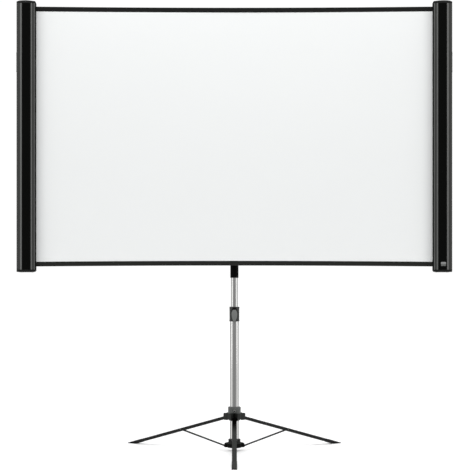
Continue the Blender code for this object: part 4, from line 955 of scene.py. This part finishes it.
# Tripod: hubs, legs, braces and feet
hub = {"plateHeight": 0.0270, "frontFace": 0.0290, "frontHalf": 0.0150, "frontTop": 0.168, "forkStart": 0.0285}
hubPiece = softened("upper_hub", "upperHub", "hub", "hub")
addPaints(hubPiece.data, "facePlate", "moulding")
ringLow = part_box("upper_hub")[1].z - hub["plateHeight"]
for face in hubPiece.data.polygons:
    if face.center.z > ringLow and abs(face.normal.z) < 0.9 and face.center.y < poleY:
        face.material_index = 1
    # painted shade: the front cheeks between the ears, where the front leg's root lies in shadow, get the black
    # moulding
    elif (face.center.y < poleY - hub["frontFace"] and abs(face.center.x) < hub["frontHalf"]
          and face.center.z < hub["frontTop"]):
        face.material_index = 2
lowerHubPiece = softened("lower_hub", "lowerHub", "cap", "mast")
addPaints(lowerHubPiece.data, "moulding")
for face in lowerHubPiece.data.polygons:
    if math.hypot(face.center.x, face.center.y - poleY) > hub["forkStart"]:
        face.material_index = 1

bolt = {"head": 0.0045, "radius": 0.0055, "shank": 0.0030, "socket": 0.0034, "socketDepth": 0.0042}


def addHubBolt():
    low, high, middle = spanOf("hub_bolt")
    place = turnTo((0, 1, 0), (0, low.y, middle.z))
    radius, head, shank, length = bolt["radius"], bolt["head"], bolt["shank"], high.y - low.y
    dome = [(0, 0.0003), (0.0026, 0.0004), (0.0044, 0.0010), (0.0053, 0.0022), (radius, 0.0034)]
    profile = dome + [(radius, head), (shank, head), (shank, length), (0, length)]
    hexagon = arc((0, 0), bolt["socket"], 0, 300, 5)
    socket = prism("socket", hexagon, -0.002, bolt["socketDepth"], place)
    mesh = carved("hubBolt", lathed("boltBody", profile, place, 48), socket, 32)
    addPaints(mesh, "bolt", "moulding")
    for face in mesh.polygons:
        # painted shade: the walls of the hex socket get the black moulding for the shade inside the socket
        near = math.hypot(face.center.x, face.center.z - middle.z) < bolt["socket"] + 0.0001
        if near and low.y + 0.0008 < face.center.y < low.y + head:
            face.material_index = 1
    addPiece("hubBolt", mesh, "bolt", "hub_bolt", ["hub_bolt"])


addHubBolt()

foot = {"legDepth": 0.0135, "legWidth": 0.020, "room": 0.0002, "roomLength": 0.07, "round": 0.0010, "edge": 0.0005,
        "bootHalf": 0.0107}


def addFoot(side):  # a slim rubber boot over the end of a leg, flat where it stands
    place = legPlace(side)
    local = nodePoints("foot_" + side, place)
    half = max(p.y for p in local)
    sidePoints = sorted({(round(p.x, 5), round(p.z, 5)) for p in local if p.y > half - 1e-5})
    turnUp = Matrix(((1, 0, 0, 0), (0, 0, -1, 0), (0, 1, 0, 0), (0, 0, 0, 1)))
    outline = roundCorners([sidePoints[i] for i in convex_hull_2d(sidePoints)], foot["round"], 4)
    half = min(half, foot["bootHalf"])
    boot = prism("boot", outline, -half, half, place @ turnUp, foot["edge"], 3, 40)
    name = "footBoot" + side.title()
    mesh = carved(name, boot, legRoom(place, side), 40)
    addPiece(name, mesh, "rubber", "leg_" + side, ["foot_" + side])


def legRoom(place, side):  # the room for the leg inside its boot
    leg = nodePoints("leg_" + side, place)
    far = max(leg, key=lambda p: p.x)
    along = Vector((math.cos(legTilt), 0, -math.sin(legTilt)))
    upward = Vector((math.sin(legTilt), 0, math.cos(legTilt)))
    centre = Vector((far.x, 0, far.z)) - upward * foot["legDepth"] / 2
    axes = Matrix((along, (0, 1, 0), upward)).transposed().to_4x4()
    half = foot["legDepth"] / 2 + foot["room"]
    wide = foot["legWidth"] / 2 + foot["room"]
    corners = rectangle((-foot["roomLength"], -wide), (foot["room"], wide))
    return prism("legRoom", corners, -half, half, place @ Matrix.Translation(centre) @ axes)


for side, angle in legAngles.items():
    label = side.title()
    softened("leg_" + side, "legChannel" + label, "leg" + side, "leg_" + side)
    softened("brace_" + side, "braceBar" + label, "leg" + side, "brace_" + side)
    across = (-math.sin(angle), math.cos(angle), 0)
    domedPin("leg_pin_" + side, "legRivet" + label, across, "leg_" + side, 0.002, 0.0012, "rivet")
    addFoot(side)
print("tripod made")


# Nodes that stay as they are get their finish
nodePaints = {"pole_end_plug": "moulding", "guide_bush": "nylon", "slide_bush": "nylon"}
rollerPaints = {"roller_tube_": "arm", "winding_spring_": "steel", "lower_roller_plug_": "nylon",
                "upper_roller_plug_": "nylon"}
for side in sides:
    nodePaints.update({start + side: paint for start, paint in rollerPaints.items()})
for node, paint in nodePaints.items():
    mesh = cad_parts[node].data
    mesh.materials.clear()
    addPaints(mesh, paint)
